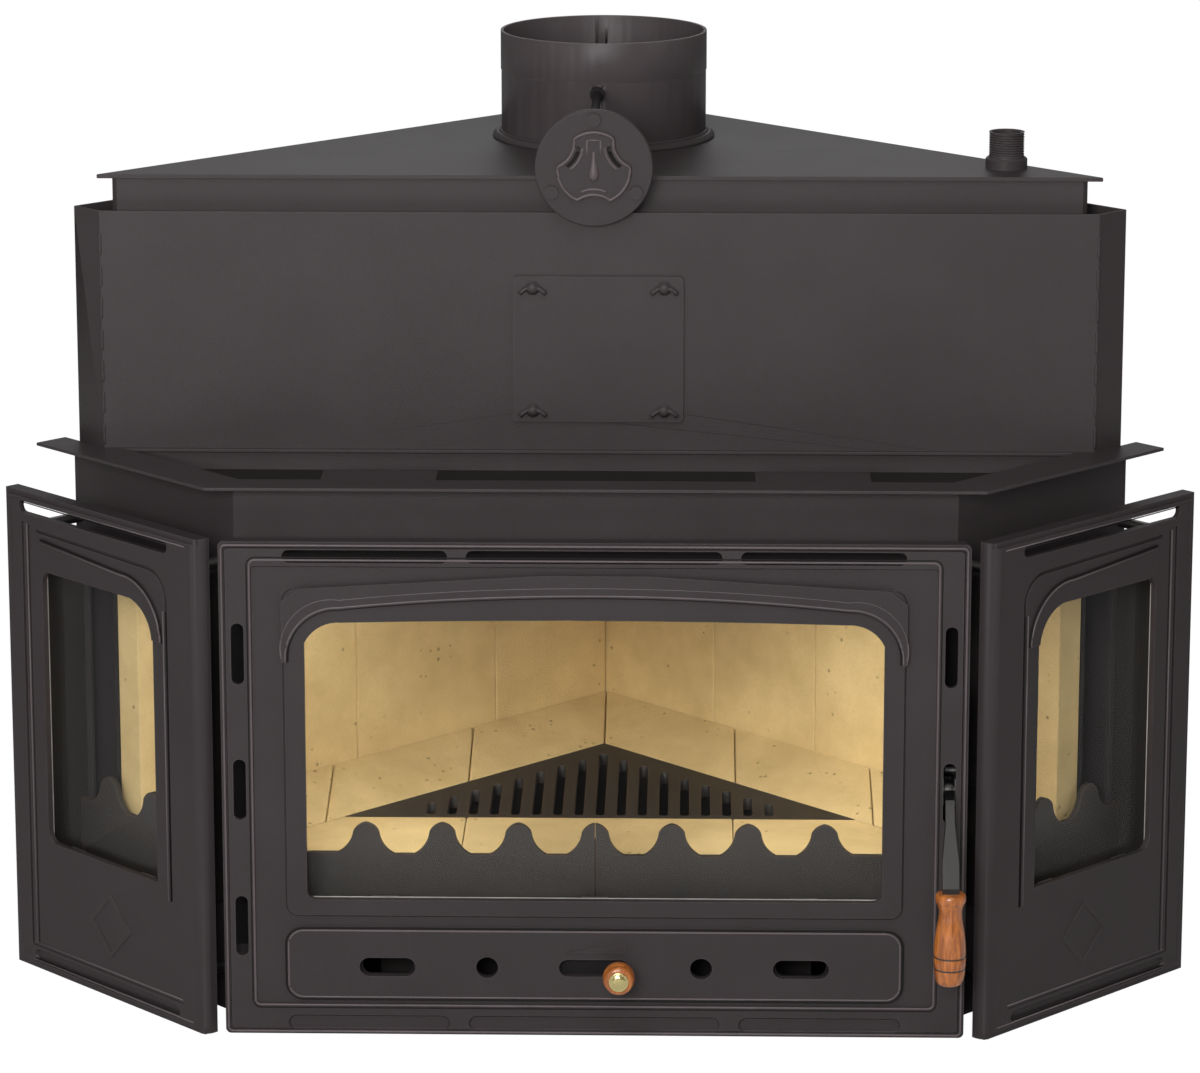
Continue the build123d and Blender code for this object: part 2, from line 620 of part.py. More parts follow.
def make_air_slide():
    """Slide plate with its guides, stem, wooden knob and brass cap."""
    level = AIR_LEVEL + DOOR_FOOT
    half = SLIDE_HEIGHT / 2
    front = DOOR_SKIN + SEAT_GAP
    plate = block(-SLIDE_HALF + SLIDE_TRAVEL / 2, SLIDE_HALF, front, front + SLIDE_THICK,
                  level - half, level + half)
    for sketch in air_openings(2.5):
        plate -= drilled(front_plane(0), sketch, 4 * DOOR_SKIN)
    save("air_slide_plate", plate)
    guides = []
    for sign in (-1, 1):
        low, high = sorted((level + sign * (half + SEAT_GAP), level + sign * (half + 5)))
        rail = block(-SLIDE_HALF - 20, SLIDE_HALF, DOOR_SKIN, DOOR_SKIN + 7, low, high)
        low, high = sorted((level + sign * (half - 3), level + sign * (half + 5)))
        rail += block(-SLIDE_HALF - 20, SLIDE_HALF, front + SLIDE_THICK + SEAT_GAP, DOOR_SKIN + 7, low, high)
        guides.append(rail)
    save("air_slide_guides", *guides)
    knob_back = KNOB_FRONT - KNOB_LENGTH
    save("air_knob_stem", bar_along_y(STEM_RADIUS, STEM_X, -knob_back - 10, front, level))
    profile = Spline((9, 0), (KNOB_RADIUS, KNOB_LENGTH * 0.45), (CAP_RADIUS + 1.5, KNOB_LENGTH),
                     tangents=((1, 0.5), (-1, 0.6)))
    rest = Polyline((CAP_RADIUS + 1.5, KNOB_LENGTH), (0, KNOB_LENGTH), (0, 0), (9, 0))
    knob = revolve(Plane.XZ * make_face([profile, rest]), Axis.Z)
    place = Pos(STEM_X, -knob_back - FLUE_TO_DOOR, level) * Rot(90, 0, 0)
    knob = place * knob
    save("air_knob", knob - bar_along_y(STEM_RADIUS, STEM_X, -knob_back - 10, 0, level))
    cap = Cylinder(CAP_RADIUS, CAP_THICK, align=(Align.CENTER, Align.CENTER, Align.MIN))
    cap = fillet(cap.edges().sort_by(Axis.Z)[-1], 1.2)
    save("air_knob_cap", Pos(STEM_X, -KNOB_FRONT - FLUE_TO_DOOR, level) * Rot(90, 0, 0) * cap)


def wing_window():
    """Window of a wing panel, its upper inner corner swept."""
    low, high = WINDOW_LOW + DOOR_FOOT, WING_WINDOW_HIGH + DOOR_FOOT
    u0, u1 = WING_WINDOW_IN, WING_WINDOW_OUT
    bend = high - WING_SWEEP
    lines = Polyline((u0 + WING_SWEEP_IN, high), (u1, high), (u1, low), (u0, low), (u0, bend))
    middle = (u0 + WING_SWEEP_IN / 4, high - WING_SWEEP * 0.36)
    sweep = ThreePointArc((u0, bend), middle, (u0 + WING_SWEEP_IN, high))
    face = make_face([lines, sweep])
    corners = [v for v in face.vertices() if v.X > u1 - 1]
    return fillet(corners, 12)


def wing_shell():
    """Wing casting before its relief: face with a rounded inner nose and a rim all round."""
    top = WING_FOOT + WING_HEIGHT
    nose, wall = WING_NOSE_RADIUS, EDGE_LEDGE
    section = Polyline((nose, 0), (WING_LENGTH, 0), (WING_LENGTH, -WING_RIM), (WING_LENGTH - wall, -WING_RIM),
                       (WING_LENGTH - wall, -DOOR_SKIN), (nose, -DOOR_SKIN))
    inside = RadiusArc((nose, -DOOR_SKIN), (wall, -nose), -(nose - wall))
    end = Polyline((wall, -nose), (wall, -WING_RIM), (0, -WING_RIM), (0, -nose))
    outside = RadiusArc((0, -nose), (nose, 0), nose)
    base = wing_plane(0)
    level = Plane(origin=base.origin + Vector(0, 0, WING_FOOT), x_dir=base.x_dir, z_dir=(0, 0, -1))
    panel = extrude(level * make_face([section, inside, end, outside]), -WING_HEIGHT)
    for low in (WING_FOOT, top - wall):
        strip = rect_sketch(2, WING_LENGTH - 2, low, low + wall)
        panel += extrude(wing_plane(WING_RIM) * strip, WING_RIM - DOOR_SKIN / 2)
    return panel


def wing_frame_path():
    """Line of the groove over and beside a wing window."""
    high, u0 = WING_FRAME_HIGH + DOOR_FOOT, WING_FRAME_U
    bend = u0 + WING_FRAME_CORNER
    lead = Polyline((WING_WINDOW_OUT + 8, high), (bend, high - 4))
    turn = ThreePointArc((bend, high - 4), (u0 + 8, high - 12), (u0, high - 32))
    return lead + turn + Line((u0, high - 32), (u0, WING_FRAME_LOW + DOOR_FOOT))


def wing_relief(panel):
    """Cuts and raises the relief of a wing casting: ledge, grooves, flute, cap and lozenge."""
    top, lift, face = WING_FOOT + WING_HEIGHT, DOOR_FOOT, wing_plane(0)
    rim = rect_sketch(-1, WING_LENGTH + 2, WING_FOOT - 1, top + 1)
    rim -= rect_sketch(-2, WING_LENGTH - EDGE_LEDGE, WING_FOOT + EDGE_LEDGE, top - EDGE_LEDGE)
    panel -= extrude(face * rim, -EDGE_STEP + 0.5)
    panel -= extrude(face * trace(wing_frame_path(), GROOVE), -GROOVE_DEPTH)
    border = Line((WING_BORDER_U, WING_BORDER[0] + lift), (WING_BORDER_U, WING_BORDER[1] + lift))
    panel -= extrude(face * trace(border, GROOVE), -GROOVE_DEPTH)
    flute = slot_sketch(*WING_FLUTE, FLUTE_LEVEL + lift, FLUTE_HEIGHT - 3)
    panel -= extrude(face * flute, -FLUTE_DEPTH, taper=DRAFT)
    u0, foot, high = WING_FRAME_U, WING_ARCH_FOOT + lift, WING_ARCH_HIGH + lift
    cap_inner = ThreePointArc((u0 + 8, foot), (u0 + 28, high - 21), (u0 + 66, high - 9))
    cap_top = Polyline((u0 + 66, high - 9), (WING_WINDOW_OUT, high), (WING_WINDOW_OUT, high - 24),
                       (WING_WINDOW_IN + 6, foot), (u0 + 8, foot))
    panel += extrude(face * make_face([cap_inner, cap_top]), WING_ARCH_RAISE)
    place = Pos(LOZENGE[0], LOZENGE[1] + lift) * Rot(0, 0, 45)
    inner_side = LOZENGE_SIDE - 2 * LOZENGE_LINE
    lozenge = place * Rectangle(LOZENGE_SIDE, LOZENGE_SIDE) - place * Rectangle(inner_side, inner_side)
    return panel + extrude(face * lozenge, LOZENGE_RAISE)


def make_wings():
    """Fixed wing castings with their glass, seals, sleeves and fixing bolts."""
    panel = wing_relief(wing_shell())
    through = 4 * DOOR_SKIN
    panel -= drilled(wing_plane(-DOOR_SKIN), wing_window(), through)
    slot = slot_sketch(WING_SLOT_IN, WING_SLOT_OUT, VENT_LEVEL + DOOR_FOOT, VENT_HEIGHT)
    panel -= drilled(wing_plane(-DOOR_SKIN), slot, through)
    save("right_wing_panel", panel)
    save("left_wing_panel", mirrored(panel))
    make_wing_glazing()
    depth = (WING_INNER_X - WING_INNER_Y - BODY_WING) / ROOT2
    make_wing_sleeves(depth)
    return depth


def make_wing_glazing():
    """Panes, gaskets and clips behind the wing windows."""
    lap = GLASS_LAP - 3
    glass_low, glass_high = WINDOW_LOW + DOOR_FOOT - lap, WING_WINDOW_HIGH + DOOR_FOOT + lap
    pane = rect_sketch(WING_WINDOW_IN - lap, WING_WINDOW_OUT + lap, glass_low, glass_high, 3)
    hole = rect_sketch(WING_WINDOW_IN - 1, WING_WINDOW_OUT + 1, glass_low + lap - 1, glass_high - lap + 1)
    gasket = ring_solid(wing_plane(DOOR_SKIN), pane, hole, GASKET)
    glass = extrude(wing_plane(DOOR_SKIN + GASKET) * pane, -GLASS)
    save("wing_glass", glass, mirrored(glass))
    save("wing_glass_gaskets", gasket, mirrored(gasket))
    back = DOOR_SKIN + GASKET + GLASS
    clips = []
    for u in (WING_WINDOW_IN + 30, WING_WINDOW_OUT - 30):
        for z, sign in ((glass_low, -1), (glass_high, 1)):
            inner, outer = sorted((z - sign * 6, z + sign * 7))
            clip = extrude(wing_plane(back) * rect_sketch(u - 10, u + 10, inner, outer), -2)
            inner, outer = sorted((z + sign * 1, z + sign * 7))
            clip += extrude(wing_plane(DOOR_SKIN) * rect_sketch(u - 10, u + 10, inner, outer), DOOR_SKIN - back)
            clips += [clip, mirrored(clip)]
    save("wing_glass_clips", *clips)


def make_wing_sleeves(depth):
    """Sealing sleeves, rope seals and fixing bolts between the wings and the body."""
    u0, u1 = WING_SLEEVE_IN - GLASS_LAP + 3, WING_SLEEVE_OUT + GLASS_LAP - 3
    low, high = WING_SLEEVE_LOW - WING_SEAL_WIDTH, WING_SLEEVE_HIGH + WING_SEAL_WIDTH
    sleeve_out = rect_sketch(u0, u1, low, high, 2)
    sleeve_in = rect_sketch(u0 + SLEEVE_WALL, u1 - SLEEVE_WALL, low + SLEEVE_WALL, high - SLEEVE_WALL)
    start = DOOR_SKIN + WING_ROPE
    sleeve = ring_solid(wing_plane(start), sleeve_out, sleeve_in, depth - start)
    save("wing_sleeves", sleeve, mirrored(sleeve))
    rope_in = rect_sketch(u0 + WING_SEAL_WIDTH, u1 - WING_SEAL_WIDTH, WING_SLEEVE_LOW, WING_SLEEVE_HIGH)
    rope = ring_solid(wing_plane(DOOR_SKIN), sleeve_out, rope_in, WING_ROPE)
    save("wing_rope_seals", rope, mirrored(rope))
    bolts = []
    for u in (WING_BOLT_IN, WING_LENGTH - WING_BOLT_OUT):
        for z in WING_BOLT_LEVELS:
            place = Pos(u, z) * Circle(WING_BOLT_RADIUS)
            bolt = extrude(wing_plane(DOOR_SKIN) * place, -(depth - DOOR_SKIN))
            bolts += [bolt, mirrored(bolt)]
    save("wing_fixing_bolts", *bolts)


def make_body(wing_depth):
    """Base, front shell with its openings, the two jacket shells, sleeve, hearth and ceiling."""
    inner_front = (BODY_FRONT, BODY_WING, BODY_BACK - SHEET_DIAGONAL)
    front_inside = (BODY_FRONT + SHEET, BODY_WING - SHEET_DIAGONAL, BODY_BACK - SHEET_DIAGONAL)
    save("base_plate", slab(plan(BODY), 0, SHEET))
    water_way = return_plane() * Cylinder(NIPPLE_BORE, 4 * SHEET)
    save("jacket_outer_shell", walls(BODY, inner_front, SHEET, BODY_TOP) - water_way)
    shell = walls(inner_front, front_inside, SHEET, BODY_TOP)
    opening = rect_sketch(-SLEEVE_HALF + 6, SLEEVE_HALF - 6, SLEEVE_LOW + 6, SLEEVE_HIGH - 6)
    shell -= drilled(front_plane(0), opening, 2 * BODY_FRONT)
    wing_hole = rect_sketch(WING_SLEEVE_IN, WING_SLEEVE_OUT, WING_SLEEVE_LOW, WING_SLEEVE_HIGH)
    cutter = extrude(wing_plane(wing_depth - 2) * wing_hole, -SHEET - 4)
    save("front_shell", shell - cutter - mirrored(cutter))
    brick_back = BRICK_FACE + BRICK_THICK * ROOT2
    jacket_face = brick_back + SEAT_GAP * ROOT2
    lining_out = (front_inside[0], front_inside[1], jacket_face + JACKET_INNER * ROOT2)
    lining_in = (front_inside[0], front_inside[1], jacket_face)
    save("jacket_inner_shell", walls(lining_out, lining_in, SHEET, CEILING_TOP - SHEET))

    sleeve_out = rect_sketch(-SLEEVE_HALF, SLEEVE_HALF, SLEEVE_LOW, SLEEVE_HIGH, 3)
    sleeve_in = rect_sketch(-SLEEVE_HALF + SLEEVE_WALL, SLEEVE_HALF - SLEEVE_WALL,
                            SLEEVE_LOW + SLEEVE_WALL, SLEEVE_HIGH - SLEEVE_WALL)
    sleeve = ring_solid(front_plane(SLEEVE_FRONT), sleeve_out, sleeve_in, BODY_FRONT - SLEEVE_FRONT)
    half = SLEEVE_HALF - SLEEVE_WALL
    sleeve += block(-half, half, SLEEVE_FRONT + 4, BODY_FRONT, HEARTH_TOP - SHEET, HEARTH_TOP)
    save("door_sleeve", sleeve)

    grate_half = GRATE_APEX - GRATE_FRONT
    triangle = [(-grate_half, GRATE_FRONT), (grate_half, GRATE_FRONT), (0, GRATE_APEX)]
    triangle = [(x, y - FLUE_TO_DOOR) for x, y in triangle]
    small = 0.86
    centre_y = GRATE_FRONT + (GRATE_APEX - GRATE_FRONT) / 3 - FLUE_TO_DOOR
    inner_triangle = [(x * small, centre_y + (y - centre_y) * small) for x, y in triangle]
    hearth = slab(plan(lining_in), HEARTH_TOP - SHEET, HEARTH_TOP)
    hearth -= slab(inner_triangle, HEARTH_TOP - 2 * SHEET, HEARTH_TOP + SHEET)
    save("hearth_plate", hearth)
    grate_low = HEARTH_FLOOR - GRATE_THICK
    frame = slab(triangle, HEARTH_TOP, grate_low) - slab(inner_triangle, HEARTH_TOP, grate_low)
    save("grate_frame", frame)
    make_grate(triangle, grate_low)
    make_bricks(jacket_face)

    smoke_out = inset(JACKET, SHEET + WATER_GAP)
    smoke_in = inset(smoke_out, JACKET_INNER)
    ceiling_outline = (front_inside[0], front_inside[1], front_inside[2])
    ceiling = slab(plan(ceiling_outline), CEILING_TOP - SHEET, CEILING_TOP)
    ceiling -= slab(plan(smoke_in), CEILING_TOP - 2 * SHEET, CEILING_TOP + SHEET)
    lane = (lining_out[2] + JACKET[2] - SHEET_DIAGONAL) / 2
    for side in (-1, 1):
        for step in RISER_STEPS:
            along = step / ROOT2
            ceiling -= upright(side * along, lane - along, RISER_RADIUS,
                               CEILING_TOP - 2 * SHEET, CEILING_TOP + SHEET)
    save("firebox_ceiling", ceiling)
    return smoke_out, smoke_in


def make_grate(triangle, low):
    """Cast triangular grate with parallel slots that follow its slanted edges."""
    grate = slab(triangle, low, HEARTH_FLOOR)
    middle = (GRATE_SLOTS - 1) / 2
    for index in range(GRATE_SLOTS):
        x = (index - middle) * GRATE_PITCH
        start = GRATE_FRONT + GRATE_MARGIN
        end = GRATE_APEX - abs(x) - GRATE_REAR_MARGIN * ROOT2
        length = end - start
        slot = Pos(x, (start + end) / 2 - FLUE_TO_DOOR, low) * extrude(
            Rot(0, 0, 90) * SlotOverall(length, GRATE_SLOT), GRATE_THICK)
        grate -= slot
    save("grate", grate)


def brick_row(widths, side, first):
    """Standing wall bricks along one back wall, from the room corner outwards."""
    limit = (BRICK_FACE + BODY_WING - SHEET_DIAGONAL) / 2
    back = BRICK_FACE + BRICK_THICK * ROOT2
    region = slab(plan((BODY_FRONT + SHEET, BODY_WING - SHEET_DIAGONAL - 1, back)), HEARTH_TOP, BRICK_TOP)
    region -= slab(plan((BODY_FRONT - 50, BODY_WING + 200, BRICK_FACE)), HEARTH_TOP, BRICK_TOP)
    marks = [first]
    for width in widths:
        marks.append(marks[-1] + width)
    marks.append(2 * limit * ROOT2)
    bricks = []
    for start, end in zip(marks[:-1], marks[1:]):
        a, b = (start + BRICK_JOINT / 2) / ROOT2, (end - BRICK_JOINT / 2) / ROOT2
        corner = [(side * a, BRICK_FACE - a), (side * b, BRICK_FACE - b),
                  (side * (b + 60), BRICK_FACE - b + 60), (side * (a + 60), BRICK_FACE - a + 60)]
        strip = slab([(x, y - FLUE_TO_DOOR) for x, y in corner], HEARTH_TOP, BRICK_TOP)
        bricks.append(region & strip)
    return bricks


def make_bricks(jacket_face):
    """Fireclay lining: two brick walls, sloping hearth bricks and a flat strip before the grate."""
    right_row = brick_row(RIGHT_BRICK_WIDTHS, 1, -BRICK_THICK + BRICK_JOINT)
    save("wall_bricks", *right_row, *brick_row(LEFT_BRICK_WIDTHS, -1, BRICK_JOINT))
    gap = BRICK_JOINT
    floor_in = (BODY_FRONT + SHEET, BODY_WING - SHEET_DIAGONAL - 1, BRICK_FACE - gap)
    run = (BRICK_FACE - gap - GRATE_APEX) / ROOT2
    slopes = []
    for side in (-1, 1):
        normal = Vector(-side, -1, 0).normalized()
        along = Vector(side, -1, 0).normalized()
        corner = Vector(0, BRICK_FACE - gap - FLUE_TO_DOOR, 0)
        profile = make_face(Polyline((0, HEARTH_TOP), (0, BRICK_BASE), (run - gap, HEARTH_FLOOR),
                                     (run - gap, HEARTH_TOP), close=True))
        plane = Plane(origin=corner - along * 120, x_dir=normal, z_dir=normal.cross(Vector(0, 0, 1)))
        reach = 900 if plane.z_dir.dot(along) > 0 else -900
        strip = extrude(plane * profile, reach)
        half = block(*sorted((side * gap / 2, side * 700)), BODY_FRONT, BODY_BACK, HEARTH_TOP, BRICK_BASE)
        strip = strip & half & slab(plan(floor_in), HEARTH_TOP, BRICK_BASE)
        for a, b in ((0, 131), (132, 262), (263, 500)):
            piece = strip & block(*sorted((side * a, side * b)), BODY_FRONT, BODY_BACK, HEARTH_TOP, BRICK_BASE)
            slopes.append(piece)
    apex = GRATE_APEX - gap * ROOT2
    edge = (BODY_FRONT + SHEET, BODY_WING - SHEET_DIAGONAL - 1, apex)
    strip = slab(plan(edge), HEARTH_TOP, HEARTH_FLOOR)
    strip = strip & block(-BODY_BACK, BODY_BACK, COMB_SETBACK + COMB_THICK + gap, GRATE_FRONT - gap,
                          HEARTH_TOP, HEARTH_FLOOR)
    cuts = (-BODY_BACK, -FRONT_BRICK_JOINT, FRONT_BRICK_JOINT, BODY_BACK)
    bricks = []
    for a, b in zip(cuts[:-1], cuts[1:]):
        bricks.append(strip & block(a + gap / 2, b - gap / 2, 0, GRATE_FRONT, HEARTH_TOP, HEARTH_FLOOR))
    save("hearth_bricks", *slopes, *bricks)
    baffle = slab(plan((BAFFLE_FRONT, BODY_WING - SHEET_DIAGONAL - 40, jacket_face - SEAT_GAP * ROOT2)),
                  BRICK_TOP, BRICK_TOP + BAFFLE_THICK)
    save("smoke_baffle", baffle)


def comb_outline(x0, x1, low, pitch, first, peaks):
    """Closed comb profile: round valleys between pointed round peaks, flat at the outer end."""
    shoulder = COMB_PEAK - COMB_TIP_HEIGHT
    cursor = (x0, COMB_PEAK if first == x0 else COMB_END)
    lines = [Line((x0, low), cursor)]
    for index in range(peaks):
        centre = first + index * pitch
        if centre > x0:
            foot = (centre - COMB_SHOULDER - COMB_FLANK, COMB_END if index == 0 else COMB_VALLEY)
            left = (centre - COMB_SHOULDER, shoulder)
            if cursor[0] < foot[0] - 0.5:
                lines.append(Line(cursor, foot))
            lines.append(RadiusArc(foot, left, -COMB_VALLEY_RADIUS))
            lines.append(RadiusArc(left, (centre, COMB_PEAK), COMB_TIP_RADIUS))
            cursor = (centre, COMB_PEAK)
        if centre < x1:
            right = (centre + COMB_SHOULDER, shoulder)
            lines.append(RadiusArc(cursor, right, COMB_TIP_RADIUS))
            level = COMB_END if index == peaks - 1 else COMB_VALLEY
            cursor = (min(right[0] + COMB_FLANK, x1), level)
            lines.append(RadiusArc(right, cursor, -COMB_VALLEY_RADIUS))
    if cursor[0] < x1 - 0.5:
        lines.append(Line(cursor, (x1, cursor[1])))
        cursor = (x1, cursor[1])
    lines.append(Line(cursor, (x1, low)))
    lines.append(Line((x1, low), (x0, low)))
    return make_face(lines)


def make_combs(wing_depth):
    """Cast log retainers behind the door and behind both wing windows."""
    reach = SLEEVE_HALF - SLEEVE_WALL - 4
    sketch = comb_outline(SEAT_GAP, reach, HEARTH_TOP, COMB_PITCH, SEAT_GAP, 4)
    right = extrude(front_plane(COMB_SETBACK) * sketch, -COMB_THICK)
    save("right_log_comb", right)
    save("left_log_comb", mirrored(right))
    u0, u1 = WING_SLEEVE_IN - WING_SEAL_WIDTH, WING_SLEEVE_OUT + WING_SEAL_WIDTH
    low = WING_SLEEVE_LOW - WING_SEAL_WIDTH + SLEEVE_WALL
    sketch = comb_outline(u0, u1, low, WING_COMB_PITCH, u0 + COMB_SHOULDER + COMB_FLANK, 3)
    wing = extrude(wing_plane(wing_depth - WING_COMB_SETBACK) * sketch, -COMB_THICK)
    save("wing_log_combs", wing, mirrored(wing))


def make_ash_pan():
    """Folded ash pan on the base, under the grate, with a bail handle on its front."""
    low = SHEET
    half = PAN_WIDTH / 2
    pan = block(-half, half, PAN_FRONT, PAN_FRONT + PAN_DEPTH, low, low + PAN_HEIGHT)
    pan -= block(-half + PAN_WALL, half - PAN_WALL, PAN_FRONT + PAN_WALL, PAN_FRONT + PAN_DEPTH - PAN_WALL,
                 low + PAN_WALL, low + PAN_HEIGHT + 1)
    save("ash_pan", pan)
    level = low + PAN_HEIGHT * 0.6
    grip = block(-45, 45, PAN_FRONT - 16, PAN_FRONT - 13, level, level + 10)
    for side in (-45, 42):
        grip += block(side, side + 3, PAN_FRONT - 16, PAN_FRONT, level, level + 10)
    save("ash_pan_handle", grip)


def make_flange():
    """Sheet flange over the front and wings, with two tabs into the recess."""
    outline = (FLANGE_FRONT, FLANGE_WING, FLANGE_BACK)
    flange = slab(plan(outline), BODY_TOP, BODY_TOP + FLANGE_THICK)
    flange -= slab(plan((SHROUD[0] - SEAT_GAP, BODY_WING, BODY_BACK + 200)), BODY_TOP, BODY_TOP + FLANGE_THICK)
    recess = [(-(RECESS_WING + RECESS_FRONT), RECESS_FRONT), (RECESS_WING + RECESS_FRONT, RECESS_FRONT),
              (RECESS_WING + RECESS_BACK, RECESS_BACK), (-(RECESS_WING + RECESS_BACK), RECESS_BACK)]
    recess = [(x, y - FLUE_TO_DOOR) for x, y in recess]
    flange -= slab(recess, BODY_TOP, BODY_TOP + FLANGE_THICK)
    for side in (-1, 1):
        low, high = sorted((side * TAB_IN, side * TAB_OUT))
        flange += block(low, high, RECESS_FRONT - 1, TAB_BACK, BODY_TOP, BODY_TOP + FLANGE_THICK)
    save("front_flange", flange)


def make_upper(smoke_out, smoke_in):
    """Convection shroud, upper jacket walls, smoke box, top plate, flue collar and cover."""
    shroud = walls(SHROUD, inset(SHROUD, SHROUD_SHEET), BODY_TOP, SHROUD_TOP)
    body_inside = (BODY_FRONT + SHEET, BODY_WING - SHEET_DIAGONAL, BODY_BACK - SHEET_DIAGONAL)
    skirt = walls(SHROUD, inset(SHROUD, SHROUD_SHEET), CEILING_TOP, BODY_TOP)
    shroud += skirt & slab(plan(body_inside), CEILING_TOP, BODY_TOP)
    port = rect_sketch(-COVER_WIDTH / 2 + 20, COVER_WIDTH / 2 - 20, COVER_LEVEL - COVER_HEIGHT / 2 + 20,
                       COVER_LEVEL + COVER_HEIGHT / 2 - 20)
    shroud -= drilled(front_plane(SHROUD[0] - 5), port, 12)
    bolt_places = [(sx * COVER_BOLT_X / 2, COVER_LEVEL + sz * COVER_BOLT_Z / 2)
                   for sx in (-1, 1) for sz in (-1, 1)]
    for x, z in bolt_places:
        shroud -= bar_along_y(COVER_BOLT_RADIUS, x, SHROUD[0] - 5, SHROUD[0] + 5, z)
    save("convection_shroud", shroud)
    cover = rect_sketch(-COVER_WIDTH / 2, COVER_WIDTH / 2, COVER_LEVEL - COVER_HEIGHT / 2,
                        COVER_LEVEL + COVER_HEIGHT / 2, 4)
    for x, z in bolt_places:
        cover -= Pos(x, z) * Circle(COVER_BOLT_RADIUS)
    save("inspection_cover", extrude(front_plane(SHROUD[0]) * cover, 3))
    bolts = []
    for x, z in bolt_places:
        shank = bar_along_y(COVER_BOLT_RADIUS - SHAFT_PLAY, x, SHROUD[0] - 3, SHROUD[0] + 8, z)
        head = extrude(front_plane(SHROUD[0] - 3) * (Pos(x, z) * RegularPolygon(7.5, 6)), 5)
        bolts.append(shank + head)
    save("inspection_cover_bolts", *bolts)

    save("upper_jacket_walls", walls(JACKET, inset(JACKET, SHEET), CEILING_TOP, JACKET_TOP))
    box = walls(smoke_out, smoke_in, CEILING_TOP, SMOKE_TOP - JACKET_INNER)
    lid = slab(plan(smoke_out), SMOKE_TOP - JACKET_INNER, SMOKE_TOP)
    flue_hole = Pos(0, 0, SMOKE_TOP) * Cylinder(FLUE_RADIUS - FLUE_WALL, 4 * JACKET_INNER)
    save("smoke_box", box + (lid - flue_hole))

    top_front = JACKET[0] - TOP_OVERHANG
    top_back = JACKET[2] + TOP_OVERHANG * 2
    corner = top_back - top_front
    top = slab([(-corner, top_front - FLUE_TO_DOOR), (corner, top_front - FLUE_TO_DOOR),
                (0, top_back - FLUE_TO_DOOR)], JACKET_TOP, JACKET_TOP + TOP_SHEET)
    throat = FLUE_RADIUS - THROAT_STEP
    top -= Pos(0, 0, JACKET_TOP) * Cylinder(throat, 4 * TOP_SHEET)
    top -= upright(OUTLET_X, OUTLET_DEPTH, NIPPLE_RADIUS, JACKET_TOP - 5, JACKET_TOP + 10)
    save("top_plate", top)
    deck = JACKET_TOP + TOP_SHEET
    shoulder = deck + RING_HEIGHT
    collar = Pos(0, 0, (SOCKET_LEVEL + FLUE_TOP) / 2) * Cylinder(FLUE_RADIUS, FLUE_TOP - SOCKET_LEVEL)
    collar += Pos(0, 0, (shoulder + SOCKET_LEVEL) / 2) * Cylinder(FLUE_RADIUS - SOCKET_STEP, SOCKET_LEVEL - shoulder)
    collar += Pos(0, 0, (SMOKE_TOP + shoulder) / 2) * Cylinder(throat, shoulder - SMOKE_TOP)
    collar -= Pos(0, 0, (SMOKE_TOP + FLUE_TOP) / 2) * Cylinder(FLUE_RADIUS - FLUE_WALL, FLUE_TOP)
    collar -= bar_along_y(DAMPER_ROD + SHAFT_PLAY, DAMPER_X, FLUE_TO_DOOR - FLUE_RADIUS - 5,
                          FLUE_TO_DOOR + FLUE_RADIUS + 5, DAMPER_LEVEL)
    save("flue_collar", collar)
    ring = Pos(0, 0, deck + RING_HEIGHT / 2) * Cylinder(FLUE_RADIUS + RING_WIDTH, RING_HEIGHT)
    ring = chamfer(ring.edges().sort_by(Axis.Z)[-1], RING_HEIGHT * 0.6)
    ring -= Pos(0, 0, deck) * Cylinder(throat, 4 * RING_HEIGHT)
    save("flue_base_ring", ring)


def nipple(length, sink):
    """Male water connection: pipe stub with a plain base collar, standing on Z = 0."""
    pipe = Pos(0, 0, (length - sink) / 2) * Cylinder(NIPPLE_RADIUS, length + sink)
    collar = Pos(0, 0, 5) * Cylinder(NIPPLE_BASE_RADIUS, 10)
    shape = pipe + chamfer(collar.edges().sort_by(Axis.Z)[-1], 1.5)
    return shape - Pos(0, 0, length / 2) * Cylinder(NIPPLE_BORE, 3 * length)


def return_plane():
    """Plane on the left back wall where the return connection stands."""
    along = RETURN_ALONG / ROOT2
    return Plane(origin=(-along, BODY_BACK - along - FLUE_TO_DOOR, RETURN_LEVEL),
                 x_dir=(0, 0, 1), z_dir=(-1, 1, 0))


def make_nipples():
    """Flow connection on the top plate and return connection low on the left back wall."""
    deck = JACKET_TOP + TOP_SHEET
    outlet = Pos(OUTLET_X, OUTLET_DEPTH - FLUE_TO_DOOR, deck) * nipple(OUTLET_HEIGHT, TOP_SHEET)
    save("water_outlet_nipple", outlet)
    save("water_return_nipple", return_plane() * nipple(RETURN_LENGTH, 0))


def rosette_sketch():
    """Three broad lobes joined by shallow hollows."""
    edges = []
    lobe, waist = ROSETTE_RADIUS, ROSETTE_WAIST

    def at(angle, radius):
        return (radius * math.cos(math.radians(angle)), radius * math.sin(math.radians(angle)))

    for middle in (90, 210, 330):
        a, b = at(middle - 30, lobe), at(middle + 30, lobe)
        edges.append(ThreePointArc(a, at(middle, lobe), b))
        edges.append(ThreePointArc(b, at(middle + 60, waist), at(middle + 90, lobe)))
    return make_face(edges)


